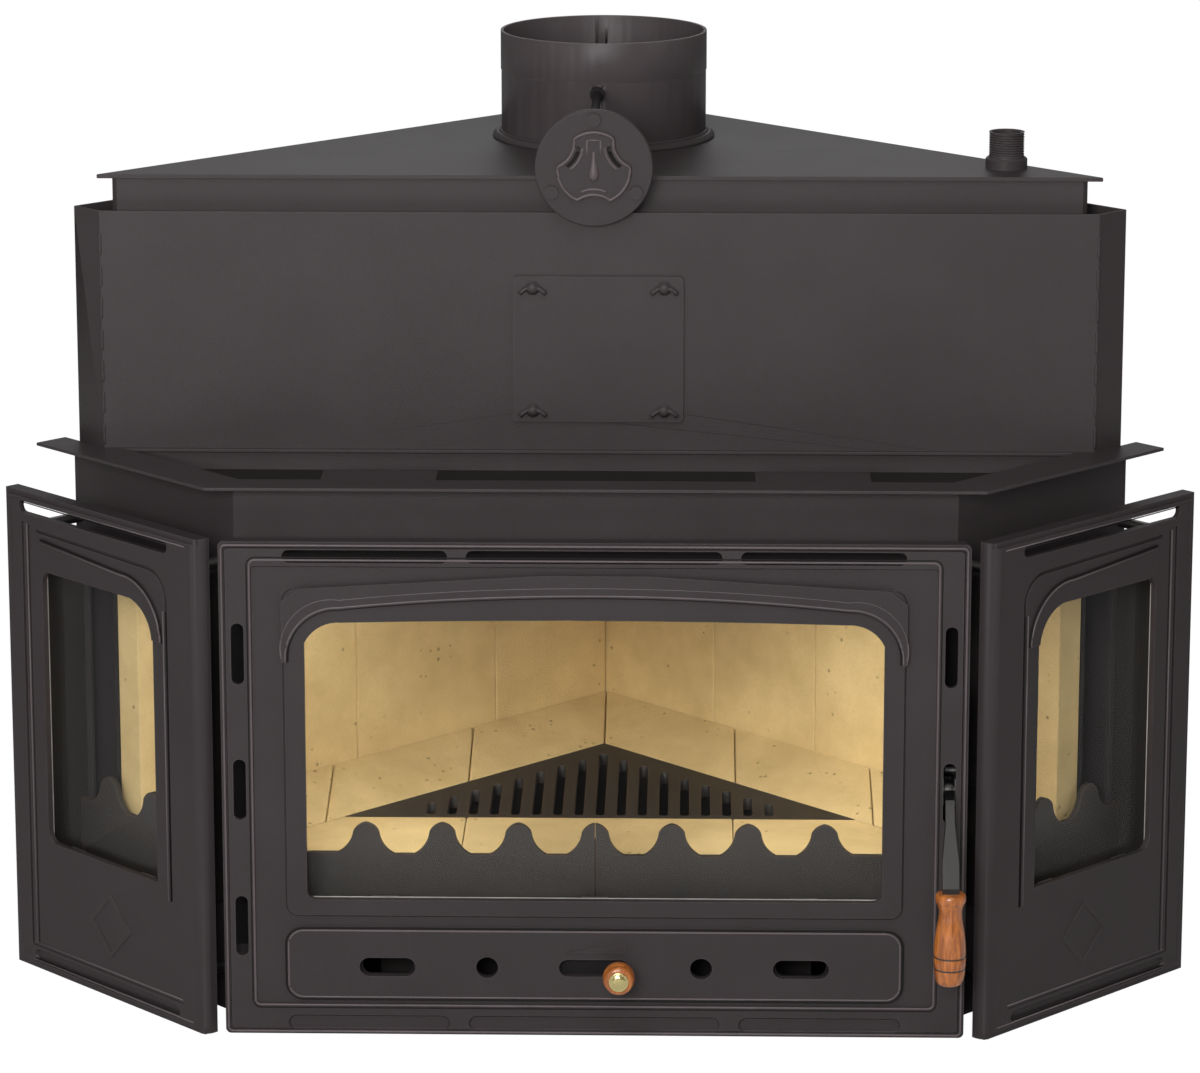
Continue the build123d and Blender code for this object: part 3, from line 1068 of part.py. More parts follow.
def make_damper():
    """Flue damper: shaft, blade shut across the collar, and the cast disc that turns it."""
    front = DISC_SETBACK
    centre = DAMPER_LEVEL - RIVET_CIRCLE
    shaft = bar_along_y(DAMPER_ROD, DAMPER_X, front, FLUE_TO_DOOR + FLUE_RADIUS + 8, DAMPER_LEVEL)
    shaft += bar_along_y(DAMPER_ROD + 3, DAMPER_X, FLUE_TO_DOOR - FLUE_RADIUS - 14,
                         FLUE_TO_DOOR - FLUE_RADIUS - 8, DAMPER_LEVEL)
    save("damper_shaft", shaft)
    blade = Pos(0, 0, DAMPER_LEVEL) * Cylinder(DAMPER_BLADE_RADIUS, DAMPER_BLADE)
    hub = bar_along_y(DAMPER_ROD + 2.5, DAMPER_X, FLUE_TO_DOOR - 80, FLUE_TO_DOOR + 80, DAMPER_LEVEL)
    blade = blade + hub - bar_along_y(DAMPER_ROD, DAMPER_X, FLUE_TO_DOOR - 120, FLUE_TO_DOOR + 120, DAMPER_LEVEL)
    save("damper_blade", blade)
    face = Circle(DISC_RADIUS)
    for angle in (90, 210, 330):
        x = RIVET_CIRCLE * math.cos(math.radians(angle))
        z = RIVET_CIRCLE * math.sin(math.radians(angle))
        radius = DAMPER_ROD if angle == 90 else RIVET_RADIUS
        face -= Pos(x, z) * Circle(radius)
    place = Pos(DAMPER_X, centre)
    disc = extrude(front_plane(front) * (place * face), -DISC_THICK)
    save("damper_disc", disc)
    rosette = extrude(front_plane(front) * (place * rosette_sketch()), ROSETTE_RAISE)
    for angle in (30, 150):
        edge = CenterArc((0, 0), ROSETTE_WAIST - 6, angle - 34, 68)
        rosette -= extrude(front_plane(front - ROSETTE_RAISE) * (place * trace(edge, 3.2)), -ROSETTE_RAISE)
    drop = make_hull([*CenterArc((0, -9), 5, 0, 360).edges(), *CenterArc((0, 7), 1.5, 0, 360).edges()])
    rosette += extrude(front_plane(front - ROSETTE_RAISE) * (place * drop), 3)
    save("damper_rosette", rosette)
    rivets = []
    for angle in (90, 210, 330):
        x = DAMPER_X + RIVET_CIRCLE * math.cos(math.radians(angle))
        z = centre + RIVET_CIRCLE * math.sin(math.radians(angle))
        rivet = bar_along_y(RIVET_RADIUS + 2, x, front - 3, front, z)
        if angle != 90:
            rivet += bar_along_y(RIVET_RADIUS, x, front - 3, front + DISC_THICK, z)
        rivets.append(rivet)
    save("damper_rivets", *rivets)


os.makedirs("parts", exist_ok=True)
make_door()
make_door_glazing()
make_door_seal()
make_hinges()
make_handle()
make_air_slide()
wing_gap = make_wings()
smoke_outer, smoke_inner = make_body(wing_gap)
make_combs(wing_gap)
make_ash_pan()
make_flange()
make_upper(smoke_outer, smoke_inner)
make_nipples()
make_damper()
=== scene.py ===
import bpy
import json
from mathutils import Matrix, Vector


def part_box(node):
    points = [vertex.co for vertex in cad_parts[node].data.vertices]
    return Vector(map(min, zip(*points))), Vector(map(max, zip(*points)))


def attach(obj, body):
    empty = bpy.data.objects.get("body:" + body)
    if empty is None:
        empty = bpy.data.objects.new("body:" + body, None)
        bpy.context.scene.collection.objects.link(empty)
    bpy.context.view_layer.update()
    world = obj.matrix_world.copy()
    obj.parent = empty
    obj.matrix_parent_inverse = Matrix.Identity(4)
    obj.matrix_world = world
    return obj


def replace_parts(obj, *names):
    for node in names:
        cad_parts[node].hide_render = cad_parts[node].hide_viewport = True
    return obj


bl_info = {
    "name": "Corner fireplace insert",
    "version": (1, 0, 0),
    "blender": (4, 5, 0),
    "location": "View3D > Sidebar > Insert",
    "description": "Dresses the packed corner insert: castings, sheet steel, fireclay, glass and wood",
    "category": "Object",
}

import json
import math

import bmesh
import bpy
from mathutils import Vector

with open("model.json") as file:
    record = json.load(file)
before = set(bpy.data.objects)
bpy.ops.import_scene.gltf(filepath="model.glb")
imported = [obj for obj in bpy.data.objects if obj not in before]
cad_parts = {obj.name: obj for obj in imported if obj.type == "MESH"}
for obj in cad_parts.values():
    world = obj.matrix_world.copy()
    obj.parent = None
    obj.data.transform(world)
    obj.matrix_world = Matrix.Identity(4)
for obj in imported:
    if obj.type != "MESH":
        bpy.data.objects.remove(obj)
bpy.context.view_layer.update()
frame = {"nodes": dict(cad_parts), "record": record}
NODES = frame["nodes"]
ROOT2 = math.sqrt(2)
UP, TO_ROOM = Vector((0, 0, 1)), Vector((0, -1, 0))

# Places in metres, taken from the frame
DOOR_LOW, DOOR_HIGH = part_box("door_casting")
GRIP_LOW, GRIP_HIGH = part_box("handle_grip")
KNOB_LOW, KNOB_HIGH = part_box("air_knob")
CAP_LOW, CAP_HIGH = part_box("air_knob_cap")
OUTLET_LOW, OUTLET_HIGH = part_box("water_outlet_nipple")
SHROUD_LOW, SHROUD_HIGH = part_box("convection_shroud")
COLLAR_LOW, COLLAR_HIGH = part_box("flue_collar")
RING_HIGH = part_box("flue_base_ring")[1]
ROPE_LOW, ROPE_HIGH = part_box("door_rope_seal")
GASKET_LOW, GASKET_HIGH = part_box("door_glass_gasket")

# The door's face stands in front of the raised frame by nothing but the arch's relief.
DOOR_FACE = -0.443
WING_CORNER = Vector((0.3573, DOOR_FACE - 0.0008, 0.0))
WING_ALONG = Vector((1, 1, 0)) / ROOT2
WING_OUT = Vector((1, -1, 0)) / ROOT2

# Lines of the door casting in metres: (x0, x1, z0, z1) of its panels, (x, z) of the other points
DOOR_EDGE_INSET = 0.0030
AIR_PANEL = (-0.2785, 0.2785, 0.0410, 0.1045)
DOOR_FIELD = (-0.3095, 0.3095, 0.0325, 0.4525)
POINTER = ((-0.030, 0.0868), (0.026, 0.0975), (0.026, 0.0875))
ARCH_FOOT, ARCH_BEND = (0.277, 0.3585), (0.266, 0.391)
ARCH_SHOULDER, ARCH_CROWN = (0.229, 0.408), 0.420

# Near-black film of painted shade behind the door's openings, as (x0, x1, z0, z1), and how far it stands off the shell
DARK_AREAS = (
    (-0.290, 0.290, 0.424, 0.451),
    (-0.334, -0.308, 0.070, 0.400),
    (0.308, 0.334, 0.070, 0.400),
)
FILM_GAP = 0.0004

# Rosette of the damper: radius of lobes and hollows, half angle of a lobe in degrees
LOBE, WAIST, LOBE_ANGLE = 0.0345, 0.0255, 33.0
LOBE_MIDDLES, HOLLOW_MIDDLES, OPENING_MIDDLES = (90, 210, 330), (30, 150, 270), (30, 150)


def paint(label, text, value):
    """Property for a colour."""
    return bpy.props.FloatVectorProperty(
        name=label, description=text, subtype="COLOR", default=value, min=0, max=1)


def length(label, text, value):
    """Property for a length."""
    return bpy.props.FloatProperty(name=label, description=text, unit="LENGTH", default=value)


class InsertColours(bpy.types.PropertyGroup):
    """Colours of the finishes."""

    castings: paint("Castings", "Heat-proof paint on the door, wings and damper", (0.0385, 0.0315, 0.0325))
    sheet: paint("Sheet steel", "Heat-proof paint on shroud, flange and jacket", (0.046, 0.0385, 0.0395))
    inside: paint("Inside steel", "Paint inside the body", (0.020, 0.0175, 0.0165))
    iron: paint("Grate iron", "Cast iron of grate and combs", (0.024, 0.020, 0.017))
    fireclay: paint("Fireclay", "Bricks of the lining", (0.79, 0.60, 0.295))
    wood: paint("Wood", "Varnished grip and knob", (0.40, 0.125, 0.018))
    brass: paint("Brass", "Cap of the air knob", (0.78, 0.66, 0.30))


class InsertSizes(bpy.types.PropertyGroup):
    """Sizes of the surface detail."""

    casting_round: length("Casting edges", "Rounding of cast edges", 0.0010)
    sheet_round: length("Sheet edges", "Rounding of sheet edges", 0.0006)
    brick_round: length("Brick edges", "Worn rounding of the bricks", 0.0022)
    relief_line: length("Relief line", "Radius of the fine raised lines", 0.0013)
    weld_radius: length("Weld", "Radius of the weld seams", 0.0016)
    thread_pitch: length("Thread pitch", "Pitch of the one-inch pipe thread", 0.002309)
    thread_depth: length("Thread depth", "Depth of the pipe thread", 0.0012)


class InsertStage(bpy.types.PropertyGroup):
    """Camera and light."""

    lens: bpy.props.FloatProperty(
        name="Lens", description="Focal length on a 36 mm sensor", unit="CAMERA", default=137.24)
    eye: bpy.props.FloatVectorProperty(
        name="Eye", description="Place of the camera", subtype="XYZ", unit="LENGTH",
        default=(0.0861, -4.4040, 1.4916))
    pitch: bpy.props.FloatProperty(
        name="Pitch", description="Tilt of the camera below level", subtype="ANGLE",
        default=math.radians(12.127))
    yaw: bpy.props.FloatProperty(
        name="Yaw", description="Turn of the camera to the left", subtype="ANGLE",
        default=math.radians(1.167))
    rise: bpy.props.FloatProperty(
        name="Rise", description="Vertical shift of the lens", default=-0.15)
    daylight: bpy.props.FloatProperty(
        name="Daylight", description="Strength of the even light from all round", default=0.15)


def finish_nodes(name):
    """A new material with its node tree, shader and object coordinates."""
    material = bpy.data.materials.new(name)
    material.use_nodes = True
    tree = material.node_tree
    shader = tree.nodes["Principled BSDF"]
    place = tree.nodes.new("ShaderNodeTexCoord")
    return material, tree, shader, place.outputs["Object"]


def new_group(name, inputs, outputs):
    """An empty shader group with float inputs and its outputs."""
    tree = bpy.data.node_groups.new(name, "ShaderNodeTree")
    for label, kind, value in inputs:
        socket = tree.interface.new_socket(label, in_out="INPUT", socket_type=kind)
        if value is not None:
            socket.default_value = value
    for label, kind in outputs:
        tree.interface.new_socket(label, in_out="OUTPUT", socket_type=kind)
    return tree, tree.nodes.new("NodeGroupInput"), tree.nodes.new("NodeGroupOutput")


def math_node(tree, operation, first, second=None):
    """A maths node fed by sockets or numbers."""
    node = tree.nodes.new("ShaderNodeMath")
    node.operation = operation
    for slot, value in zip(node.inputs, (first, second)):
        if value is None:
            continue
        if isinstance(value, (int, float)):
            slot.default_value = value
        else:
            tree.links.new(value, slot)
    return node.outputs[0]


def noise(tree, place, scale, detail=3.0, rough=0.55, distortion=0.0):
    """A noise texture; scale is a number or a socket, in turns per metre."""
    node = tree.nodes.new("ShaderNodeTexNoise")
    tree.links.new(place, node.inputs["Vector"])
    if isinstance(scale, (int, float)):
        node.inputs["Scale"].default_value = scale
    else:
        tree.links.new(scale, node.inputs["Scale"])
    node.inputs["Detail"].default_value = detail
    node.inputs["Roughness"].default_value = rough
    node.inputs["Distortion"].default_value = distortion
    return node.outputs["Fac"]


def spread(tree, value, low, high, to_low=0.0, to_high=1.0):
    """Maps a span of a value to another, clamped."""
    node = tree.nodes.new("ShaderNodeMapRange")
    tree.links.new(value, node.inputs["Value"])
    node.inputs["From Min"].default_value = low
    node.inputs["From Max"].default_value = high
    node.inputs["To Min"].default_value = to_low
    node.inputs["To Max"].default_value = to_high
    return node.outputs["Result"]


def mix_colour(tree, factor, first, second, way="MIX"):
    """Mixes two colours, each a socket or a colour."""
    node = tree.nodes.new("ShaderNodeMix")
    node.data_type = "RGBA"
    node.blend_type = way
    if isinstance(factor, (int, float)):
        node.inputs[0].default_value = factor
    else:
        tree.links.new(factor, node.inputs[0])
    for slot, value in ((node.inputs[6], first), (node.inputs[7], second)):
        if isinstance(value, (tuple, list)):
            slot.default_value = (*value[:3], 1)
        else:
            tree.links.new(value, slot)
    return node.outputs[2]


def tinted(colour, *factors):
    """A colour times one factor, or one for each channel, up to full."""
    if len(factors) == 1:
        factors *= 3
    return tuple(min(1.0, c * k) for c, k in zip(colour, factors))


def bump(tree, shader, height, distance, strength=1.0):
    """Feeds a height to the shader's normal."""
    node = tree.nodes.new("ShaderNodeBump")
    node.inputs["Distance"].default_value = distance
    node.inputs["Strength"].default_value = strength
    tree.links.new(height, node.inputs["Height"])
    tree.links.new(node.outputs["Normal"], shader.inputs["Normal"])


def painted_surface_group():
    """Grain, slow waves and blotches of a painted metal face."""
    tree, start, end = new_group(
        "Painted surface",
        [("Place", "NodeSocketVector", None), ("Grain", "NodeSocketFloat", 900.0),
         ("Waves", "NodeSocketFloat", 6.0), ("Grain share", "NodeSocketFloat", 0.3)],
        [("Height", "NodeSocketFloat"), ("Blotch", "NodeSocketFloat"), ("Speck", "NodeSocketFloat")])
    place = start.outputs["Place"]
    grain = noise(tree, place, start.outputs["Grain"], 2.0)
    waves = noise(tree, place, start.outputs["Waves"], 2.0, 0.4)
    share = math_node(tree, "MULTIPLY", grain, start.outputs["Grain share"])
    tree.links.new(math_node(tree, "ADD", share, waves), end.inputs["Height"])
    blotch = noise(tree, place, 11.0, 5.0, 0.6)
    tree.links.new(spread(tree, blotch, 0.3, 0.7), end.inputs["Blotch"])
    tree.links.new(spread(tree, noise(tree, place, 420.0, 2.0), 0.62, 0.74), end.inputs["Speck"])
    return tree


def edge_light_group():
    """Mask along convex edges, where paint is thinner and worn, and where the painted metals lay a painted highlight.
    """
    tree, start, end = new_group(
        "Edge wear and highlight",
        [("Place", "NodeSocketVector", None), ("Amount", "NodeSocketFloat", 1.0)],
        [("Mask", "NodeSocketFloat")])
    round_edge = tree.nodes.new("ShaderNodeBevel")
    round_edge.samples = 4
    round_edge.inputs["Radius"].default_value = 0.0022
    flat = tree.nodes.new("ShaderNodeNewGeometry")
    dot = tree.nodes.new("ShaderNodeVectorMath")
    dot.operation = "DOT_PRODUCT"
    tree.links.new(round_edge.outputs["Normal"], dot.inputs[0])
    tree.links.new(flat.outputs["Normal"], dot.inputs[1])
    bent = math_node(tree, "SUBTRACT", 1.0, dot.outputs["Value"])
    mask = spread(tree, bent, 0.02, 0.25)
    patchy = spread(tree, noise(tree, start.outputs["Place"], 45.0, 3.0), 0.3, 0.6, 0.35, 1.0)
    worn = math_node(tree, "MULTIPLY", mask, patchy)
    tree.links.new(math_node(tree, "MULTIPLY", worn, start.outputs["Amount"]), end.inputs["Mask"])
    return tree


def use_group(tree, group, place, **values):
    """Places a group in a material with its own values."""
    node = tree.nodes.new("ShaderNodeGroup")
    node.node_tree = group
    tree.links.new(place, node.inputs["Place"])
    for label, value in values.items():
        node.inputs[label.replace("_", " ")].default_value = value
    return node


def painted_metal(name, colour, surface, edges, grain, waves, depth, rough, edge_wear_and_highlight):
    """Satin heat-proof paint over metal, lighter along convex edges: worn paint and a painted highlight."""
    material, tree, shader, place = finish_nodes(name)
    skin = use_group(tree, surface, place, Grain=grain, Waves=waves)
    edge = use_group(tree, edges, place, Amount=edge_wear_and_highlight)
    pale = tinted(colour, 1.07)
    deep = tinted(colour, 0.93)
    base = mix_colour(tree, skin.outputs["Blotch"], deep, pale)
    base = mix_colour(tree, math_node(tree, "MULTIPLY", skin.outputs["Speck"], 0.18), base,
                      tinted(colour, 1.7))
    # Convex edges go 2.6 times lighter: worn paint and a painted highlight.
    base = mix_colour(tree, edge.outputs["Mask"], base, tinted(colour, 2.6))
    tree.links.new(base, shader.inputs["Base Color"])
    tree.links.new(spread(tree, skin.outputs["Blotch"], 0.0, 1.0, rough - 0.02, rough + 0.03),
                   shader.inputs["Roughness"])
    shader.inputs["Specular IOR Level"].default_value = 0.22
    bump(tree, shader, skin.outputs["Height"], depth)
    return material


def bare_cast_iron(name, colour, surface, edges):
    """Grey cast iron with a sandy skin and a trace of rust at its edges."""
    material, tree, shader, place = finish_nodes(name)
    skin = use_group(tree, surface, place, Grain=700.0, Waves=60.0)
    edge = use_group(tree, edges, place, Amount=1.0)
    rust = (0.20, 0.085, 0.035)
    deep, pale = tinted(colour, 0.7), tinted(colour, 1.35)
    base = mix_colour(tree, skin.outputs["Blotch"], deep, pale)
    base = mix_colour(tree, math_node(tree, "MULTIPLY", edge.outputs["Mask"], 0.55), base, rust)
    tree.links.new(base, shader.inputs["Base Color"])
    tree.links.new(spread(tree, skin.outputs["Blotch"], 0.0, 1.0, 0.55, 0.72), shader.inputs["Roughness"])
    bump(tree, shader, skin.outputs["Height"], 0.0006)
    return material


def fireclay_brick(name, colour, edges):
    """Pale fireclay: sandy grain, pits, brown flecks and faint scratches."""
    material, tree, shader, place = finish_nodes(name)
    cloud = spread(tree, noise(tree, place, 14.0, 5.0, 0.6), 0.3, 0.7)
    base = mix_colour(tree, cloud, tinted(colour, 0.86, 0.83, 0.78),
                      tinted(colour, 1.10))
    sand = spread(tree, noise(tree, place, 620.0, 2.0, 0.7), 0.35, 0.65)
    base = mix_colour(tree, math_node(tree, "MULTIPLY", sand, 0.22), base,
                      tinted(colour, 0.70, 0.64, 0.52))
    cells = tree.nodes.new("ShaderNodeTexVoronoi")
    cells.inputs["Scale"].default_value = 95.0
    tree.links.new(place, cells.inputs["Vector"])
    chosen = spread(tree, noise(tree, place, 31.0, 1.0), 0.56, 0.64)
    fleck = math_node(tree, "MULTIPLY", spread(tree, cells.outputs["Distance"], 0.22, 0.10), chosen)
    base = mix_colour(tree, math_node(tree, "MULTIPLY", fleck, 0.6), base, (0.25, 0.15, 0.06))
    edge = use_group(tree, edges, place, Amount=0.8)
    base = mix_colour(tree, math_node(tree, "MULTIPLY", edge.outputs["Mask"], 0.25), base, (0.95, 0.85, 0.62))
    tree.links.new(base, shader.inputs["Base Color"])
    shader.inputs["Roughness"].default_value = 0.92
    shader.inputs["Specular IOR Level"].default_value = 0.15
    height = math_node(tree, "SUBTRACT", math_node(tree, "MULTIPLY", sand, 0.35), fleck)
    bump(tree, shader, height, 0.0010)
    return material


def heat_proof_glass(name):
    """Clear pane; light for the bricks passes it straight."""
    material, tree, shader, _ = finish_nodes(name)
    shader.inputs["Base Color"].default_value = (1, 1, 1, 1)
    shader.inputs["Roughness"].default_value = 0.0
    shader.inputs["IOR"].default_value = 1.12
    shader.inputs["Transmission Weight"].default_value = 1.0
    straight = tree.nodes.new("ShaderNodeBsdfTransparent")
    straight.inputs["Color"].default_value = (0.98, 0.98, 0.97, 1)
    path = tree.nodes.new("ShaderNodeLightPath")
    either = math_node(tree, "MAXIMUM", path.outputs["Is Shadow Ray"], path.outputs["Is Diffuse Ray"])
    mixed = tree.nodes.new("ShaderNodeMixShader")
    tree.links.new(either, mixed.inputs["Fac"])
    tree.links.new(shader.outputs["BSDF"], mixed.inputs[1])
    tree.links.new(straight.outputs["BSDF"], mixed.inputs[2])
    tree.links.new(mixed.outputs["Shader"], tree.nodes["Material Output"].inputs["Surface"])
    return material


def woven_glass_fibre(name):
    """Off-white glass yarn, woven or braided."""
    material, tree, shader, place = finish_nodes(name)
    weave = tree.nodes.new("ShaderNodeTexWave")
    weave.inputs["Scale"].default_value = 420.0
    weave.inputs["Distortion"].default_value = 1.5
    weave.bands_direction = "DIAGONAL"
    tree.links.new(place, weave.inputs["Vector"])
    soot = spread(tree, noise(tree, place, 30.0, 3.0), 0.35, 0.7)
    base = mix_colour(tree, soot, (0.62, 0.60, 0.55), (0.40, 0.38, 0.34))
    base = mix_colour(tree, math_node(tree, "MULTIPLY", weave.outputs["Fac"], 0.35), base, (0.24, 0.22, 0.20))
    tree.links.new(base, shader.inputs["Base Color"])
    shader.inputs["Roughness"].default_value = 0.9
    shader.inputs["Sheen Weight"].default_value = 0.3
    bump(tree, shader, weave.outputs["Fac"], 0.0005)
    return material


def dark_steel(name, deep, pale):
    """Blued steel of screws, pins and brackets, lightly brushed."""
    material, tree, shader, place = finish_nodes(name)
    stretch = tree.nodes.new("ShaderNodeMapping")
    stretch.inputs["Scale"].default_value = (1.0, 1.0, 0.05)
    tree.links.new(place, stretch.inputs["Vector"])
    brushed = noise(tree, stretch.outputs["Vector"], 2600.0, 3.0)
    base = mix_colour(tree, brushed, (deep, deep * 0.97, deep * 0.94), (pale, pale * 0.97, pale * 0.94))
    tree.links.new(base, shader.inputs["Base Color"])
    shader.inputs["Metallic"].default_value = 1.0
    tree.links.new(spread(tree, brushed, 0.3, 0.7, 0.34, 0.5), shader.inputs["Roughness"])
    bump(tree, shader, brushed, 0.0001)
    return material


def varnished_wood(name, colour, burns):
    """Turned beech under orange gloss varnish, with burnt rings at the given heights."""
    material, tree, shader, place = finish_nodes(name)
    stretch = tree.nodes.new("ShaderNodeMapping")
    stretch.inputs["Scale"].default_value = (1.0, 1.0, 0.13)
    tree.links.new(place, stretch.inputs["Vector"])
    figure = noise(tree, stretch.outputs["Vector"], 190.0, 6.0, 0.6, 1.1)
    pores = spread(tree, noise(tree, stretch.outputs["Vector"], 1500.0, 2.0), 0.60, 0.72)
    pale = tinted(colour, 1.55)
    deep = tinted(colour, 0.62, 0.48, 0.38)
    base = mix_colour(tree, spread(tree, figure, 0.34, 0.66), deep, pale)
    base = mix_colour(tree, math_node(tree, "MULTIPLY", pores, 0.5), base, tinted(colour, 0.35))
    if burns:
        split = tree.nodes.new("ShaderNodeSeparateXYZ")
        tree.links.new(place, split.inputs[0])
        for level in burns:
            away = math_node(tree, "ABSOLUTE", math_node(tree, "SUBTRACT", split.outputs["Z"], level))
            ring = spread(tree, away, 0.0012, 0.0004)
            base = mix_colour(tree, ring, base, (0.025, 0.012, 0.006))
    tree.links.new(base, shader.inputs["Base Color"])
    shader.inputs["Roughness"].default_value = 0.38
    shader.inputs["Coat Weight"].default_value = 0.9
    shader.inputs["Coat Roughness"].default_value = 0.08
    bump(tree, shader, pores, 0.0001, 0.4)
    return material


def polished_brass(name, colour):
    """Spun brass with fine marks."""
    material, tree, shader, place = finish_nodes(name)
    marks = noise(tree, place, 900.0, 4.0)
    base = mix_colour(tree, marks, tinted(colour, 0.86), tinted(colour, 1.1))
    tree.links.new(base, shader.inputs["Base Color"])
    shader.inputs["Metallic"].default_value = 1.0
    tree.links.new(spread(tree, marks, 0.3, 0.7, 0.16, 0.30), shader.inputs["Roughness"])
    bump(tree, shader, marks, 0.00005)
    return material


def finish(slot):
    """The material made for a slot of the record."""
    return bpy.data.materials["insert_" + slot]


def dress(obj, slot):
    """Gives an object one finish."""
    obj.data.materials.clear()
    obj.data.materials.append(finish(slot))


def soften(names, width, segments=2, angle=25.0):
    """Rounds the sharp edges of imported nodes, so that they catch the light."""
    for name in names:
        obj = NODES[name]
        weld = obj.modifiers.new("Join faces", "WELD")
        weld.merge_threshold = 0.00001
        edge = obj.modifiers.new("Round edges", "BEVEL")
        edge.width = width
        edge.segments = segments
        edge.limit_method = "ANGLE"
        edge.angle_limit = math.radians(angle)
        edge.use_clamp_overlap = True
        edge.harden_normals = True


def mesh_piece(name, bm, slot, body, smooth=True, look=None):
    """Turns a bmesh into a piece that rides on a body; look is a finish of its own."""
    mesh = bpy.data.meshes.new(name)
    bmesh.ops.recalc_face_normals(bm, faces=bm.faces)
    bm.to_mesh(mesh)
    bm.free()
    for face in mesh.polygons:
        face.use_smooth = smooth
    obj = bpy.data.objects.new(name, mesh)
    bpy.context.scene.collection.objects.link(obj)
    dress(obj, look or slot)
    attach(obj, body)
    return obj


def skin(bm, rings, closed=False):
    """Joins rings of as many points by faces, the last also with the first if closed."""
    for first, second in zip(rings, rings[1:] + rings[:1] if closed else rings[1:]):
        for step in range(len(first)):
            after = (step + 1) % len(first)
            bm.faces.new((first[step], first[after], second[after], second[step]))


def tube(bm, points, radius, sides=10, closed=False, ripple=None):
    """Adds a round bead along points; ripple gives a factor of the radius at each length."""
    count = len(points)
    rings = []
    travelled = 0.0
    for index, point in enumerate(points):
        if closed:
            ahead, behind = points[(index + 1) % count], points[index - 1]
        else:
            ahead, behind = points[min(index + 1, count - 1)], points[max(index - 1, 0)]
        way = (ahead - behind).normalized()
        side = way.cross(Vector((0, 0, 1)))
        if side.length < 0.2:
            side = way.cross(Vector((0, 1, 0)))
        side.normalize()
        lift = side.cross(way).normalized()
        if index:
            travelled += (point - points[index - 1]).length
        grow = ripple(travelled) if ripple else 1.0
        ring = []
        for step in range(sides):
            turn = 2 * math.pi * step / sides
            ring.append(bm.verts.new(point + (side * math.cos(turn) + lift * math.sin(turn)) * radius * grow))
        rings.append(ring)
    skin(bm, rings, closed)
    if not closed:
        bm.faces.new(rings[0][::-1])
        bm.faces.new(rings[-1])


def lathe(bm, outline, centre, axis, sides=48):
    """Adds a turned form: outline holds (radius, height) pairs along the axis from centre."""
    axis = axis.normalized()
    side = axis.orthogonal().normalized()
    other = axis.cross(side)
    rings = []
    for radius, height in outline:
        middle = centre + axis * height
        if radius <= 0:
            rings.append([bm.verts.new(middle)])
            continue
        rings.append([bm.verts.new(middle + (side * math.cos(t) + other * math.sin(t)) * radius)
                      for t in (2 * math.pi * k / sides for k in range(sides))])
    for first, second in zip(rings[:-1], rings[1:]):
        for k in range(sides):
            after = (k + 1) % sides
            corners = []
            for ring, order in ((first, (k, after)), (second, (after, k))):
                if len(ring) == 1:
                    corners.append(ring[0])
                else:
                    corners += [ring[order[0]], ring[order[1]]]
            bm.faces.new(corners)


def rounded_corner(centre, radius, start, steps=8):
    """Points of a quarter turn in the plane, from the angle start in degrees."""
    return [(centre[0] + radius * math.cos(math.radians(start + 90 * k / steps)),
             centre[1] + radius * math.sin(math.radians(start + 90 * k / steps))) for k in range(steps + 1)]


def rounded_rectangle(x0, x1, z0, z1, radius):
    """Closed outline with round corners, as (x, z) pairs."""
    left, right, low, high = x0 + radius, x1 - radius, z0 + radius, z1 - radius
    return (rounded_corner((right, high), radius, 0) + rounded_corner((left, high), radius, 90)
            + rounded_corner((left, low), radius, 180) + rounded_corner((right, low), radius, 270))


def through_points(first, middle, last, steps=24):
    """Points on the arc through three points of the plane."""
    (ax, ay), (bx, by), (cx, cy) = first, middle, last
    d = 2 * (ax * (by - cy) + bx * (cy - ay) + cx * (ay - by))
    ux = ((ax**2 + ay**2) * (by - cy) + (bx**2 + by**2) * (cy - ay) + (cx**2 + cy**2) * (ay - by)) / d
    uy = ((ax**2 + ay**2) * (cx - bx) + (bx**2 + by**2) * (ax - cx) + (cx**2 + cy**2) * (bx - ax)) / d
    radius = math.hypot(ax - ux, ay - uy)
    angles = [math.atan2(y - uy, x - ux) for x, y in (first, middle, last)]
    for k in (1, 2):
        while angles[k] - angles[k - 1] > math.pi:
            angles[k] -= 2 * math.pi
        while angles[k] - angles[k - 1] < -math.pi:
            angles[k] += 2 * math.pi
    turns = [angles[0] + (angles[2] - angles[0]) * k / steps for k in range(steps + 1)]
    return [(ux + radius * math.cos(turn), uy + radius * math.sin(turn)) for turn in turns]


def on_door(pairs, proud=0.0):
    """Door points from (x, z) pairs in metres, proud of the door's face."""
    return [Vector((x, DOOR_FACE - proud, z)) for x, z in pairs]


def on_wing(pairs, side, proud=0.0):
    """Wing points from (u, z) pairs, on the right wing for side 1 and the left for -1."""
    points = []
    for u, z in pairs:
        point = WING_CORNER + WING_ALONG * u + WING_OUT * proud
        points.append(Vector((side * point.x, point.y, z)))
    return points


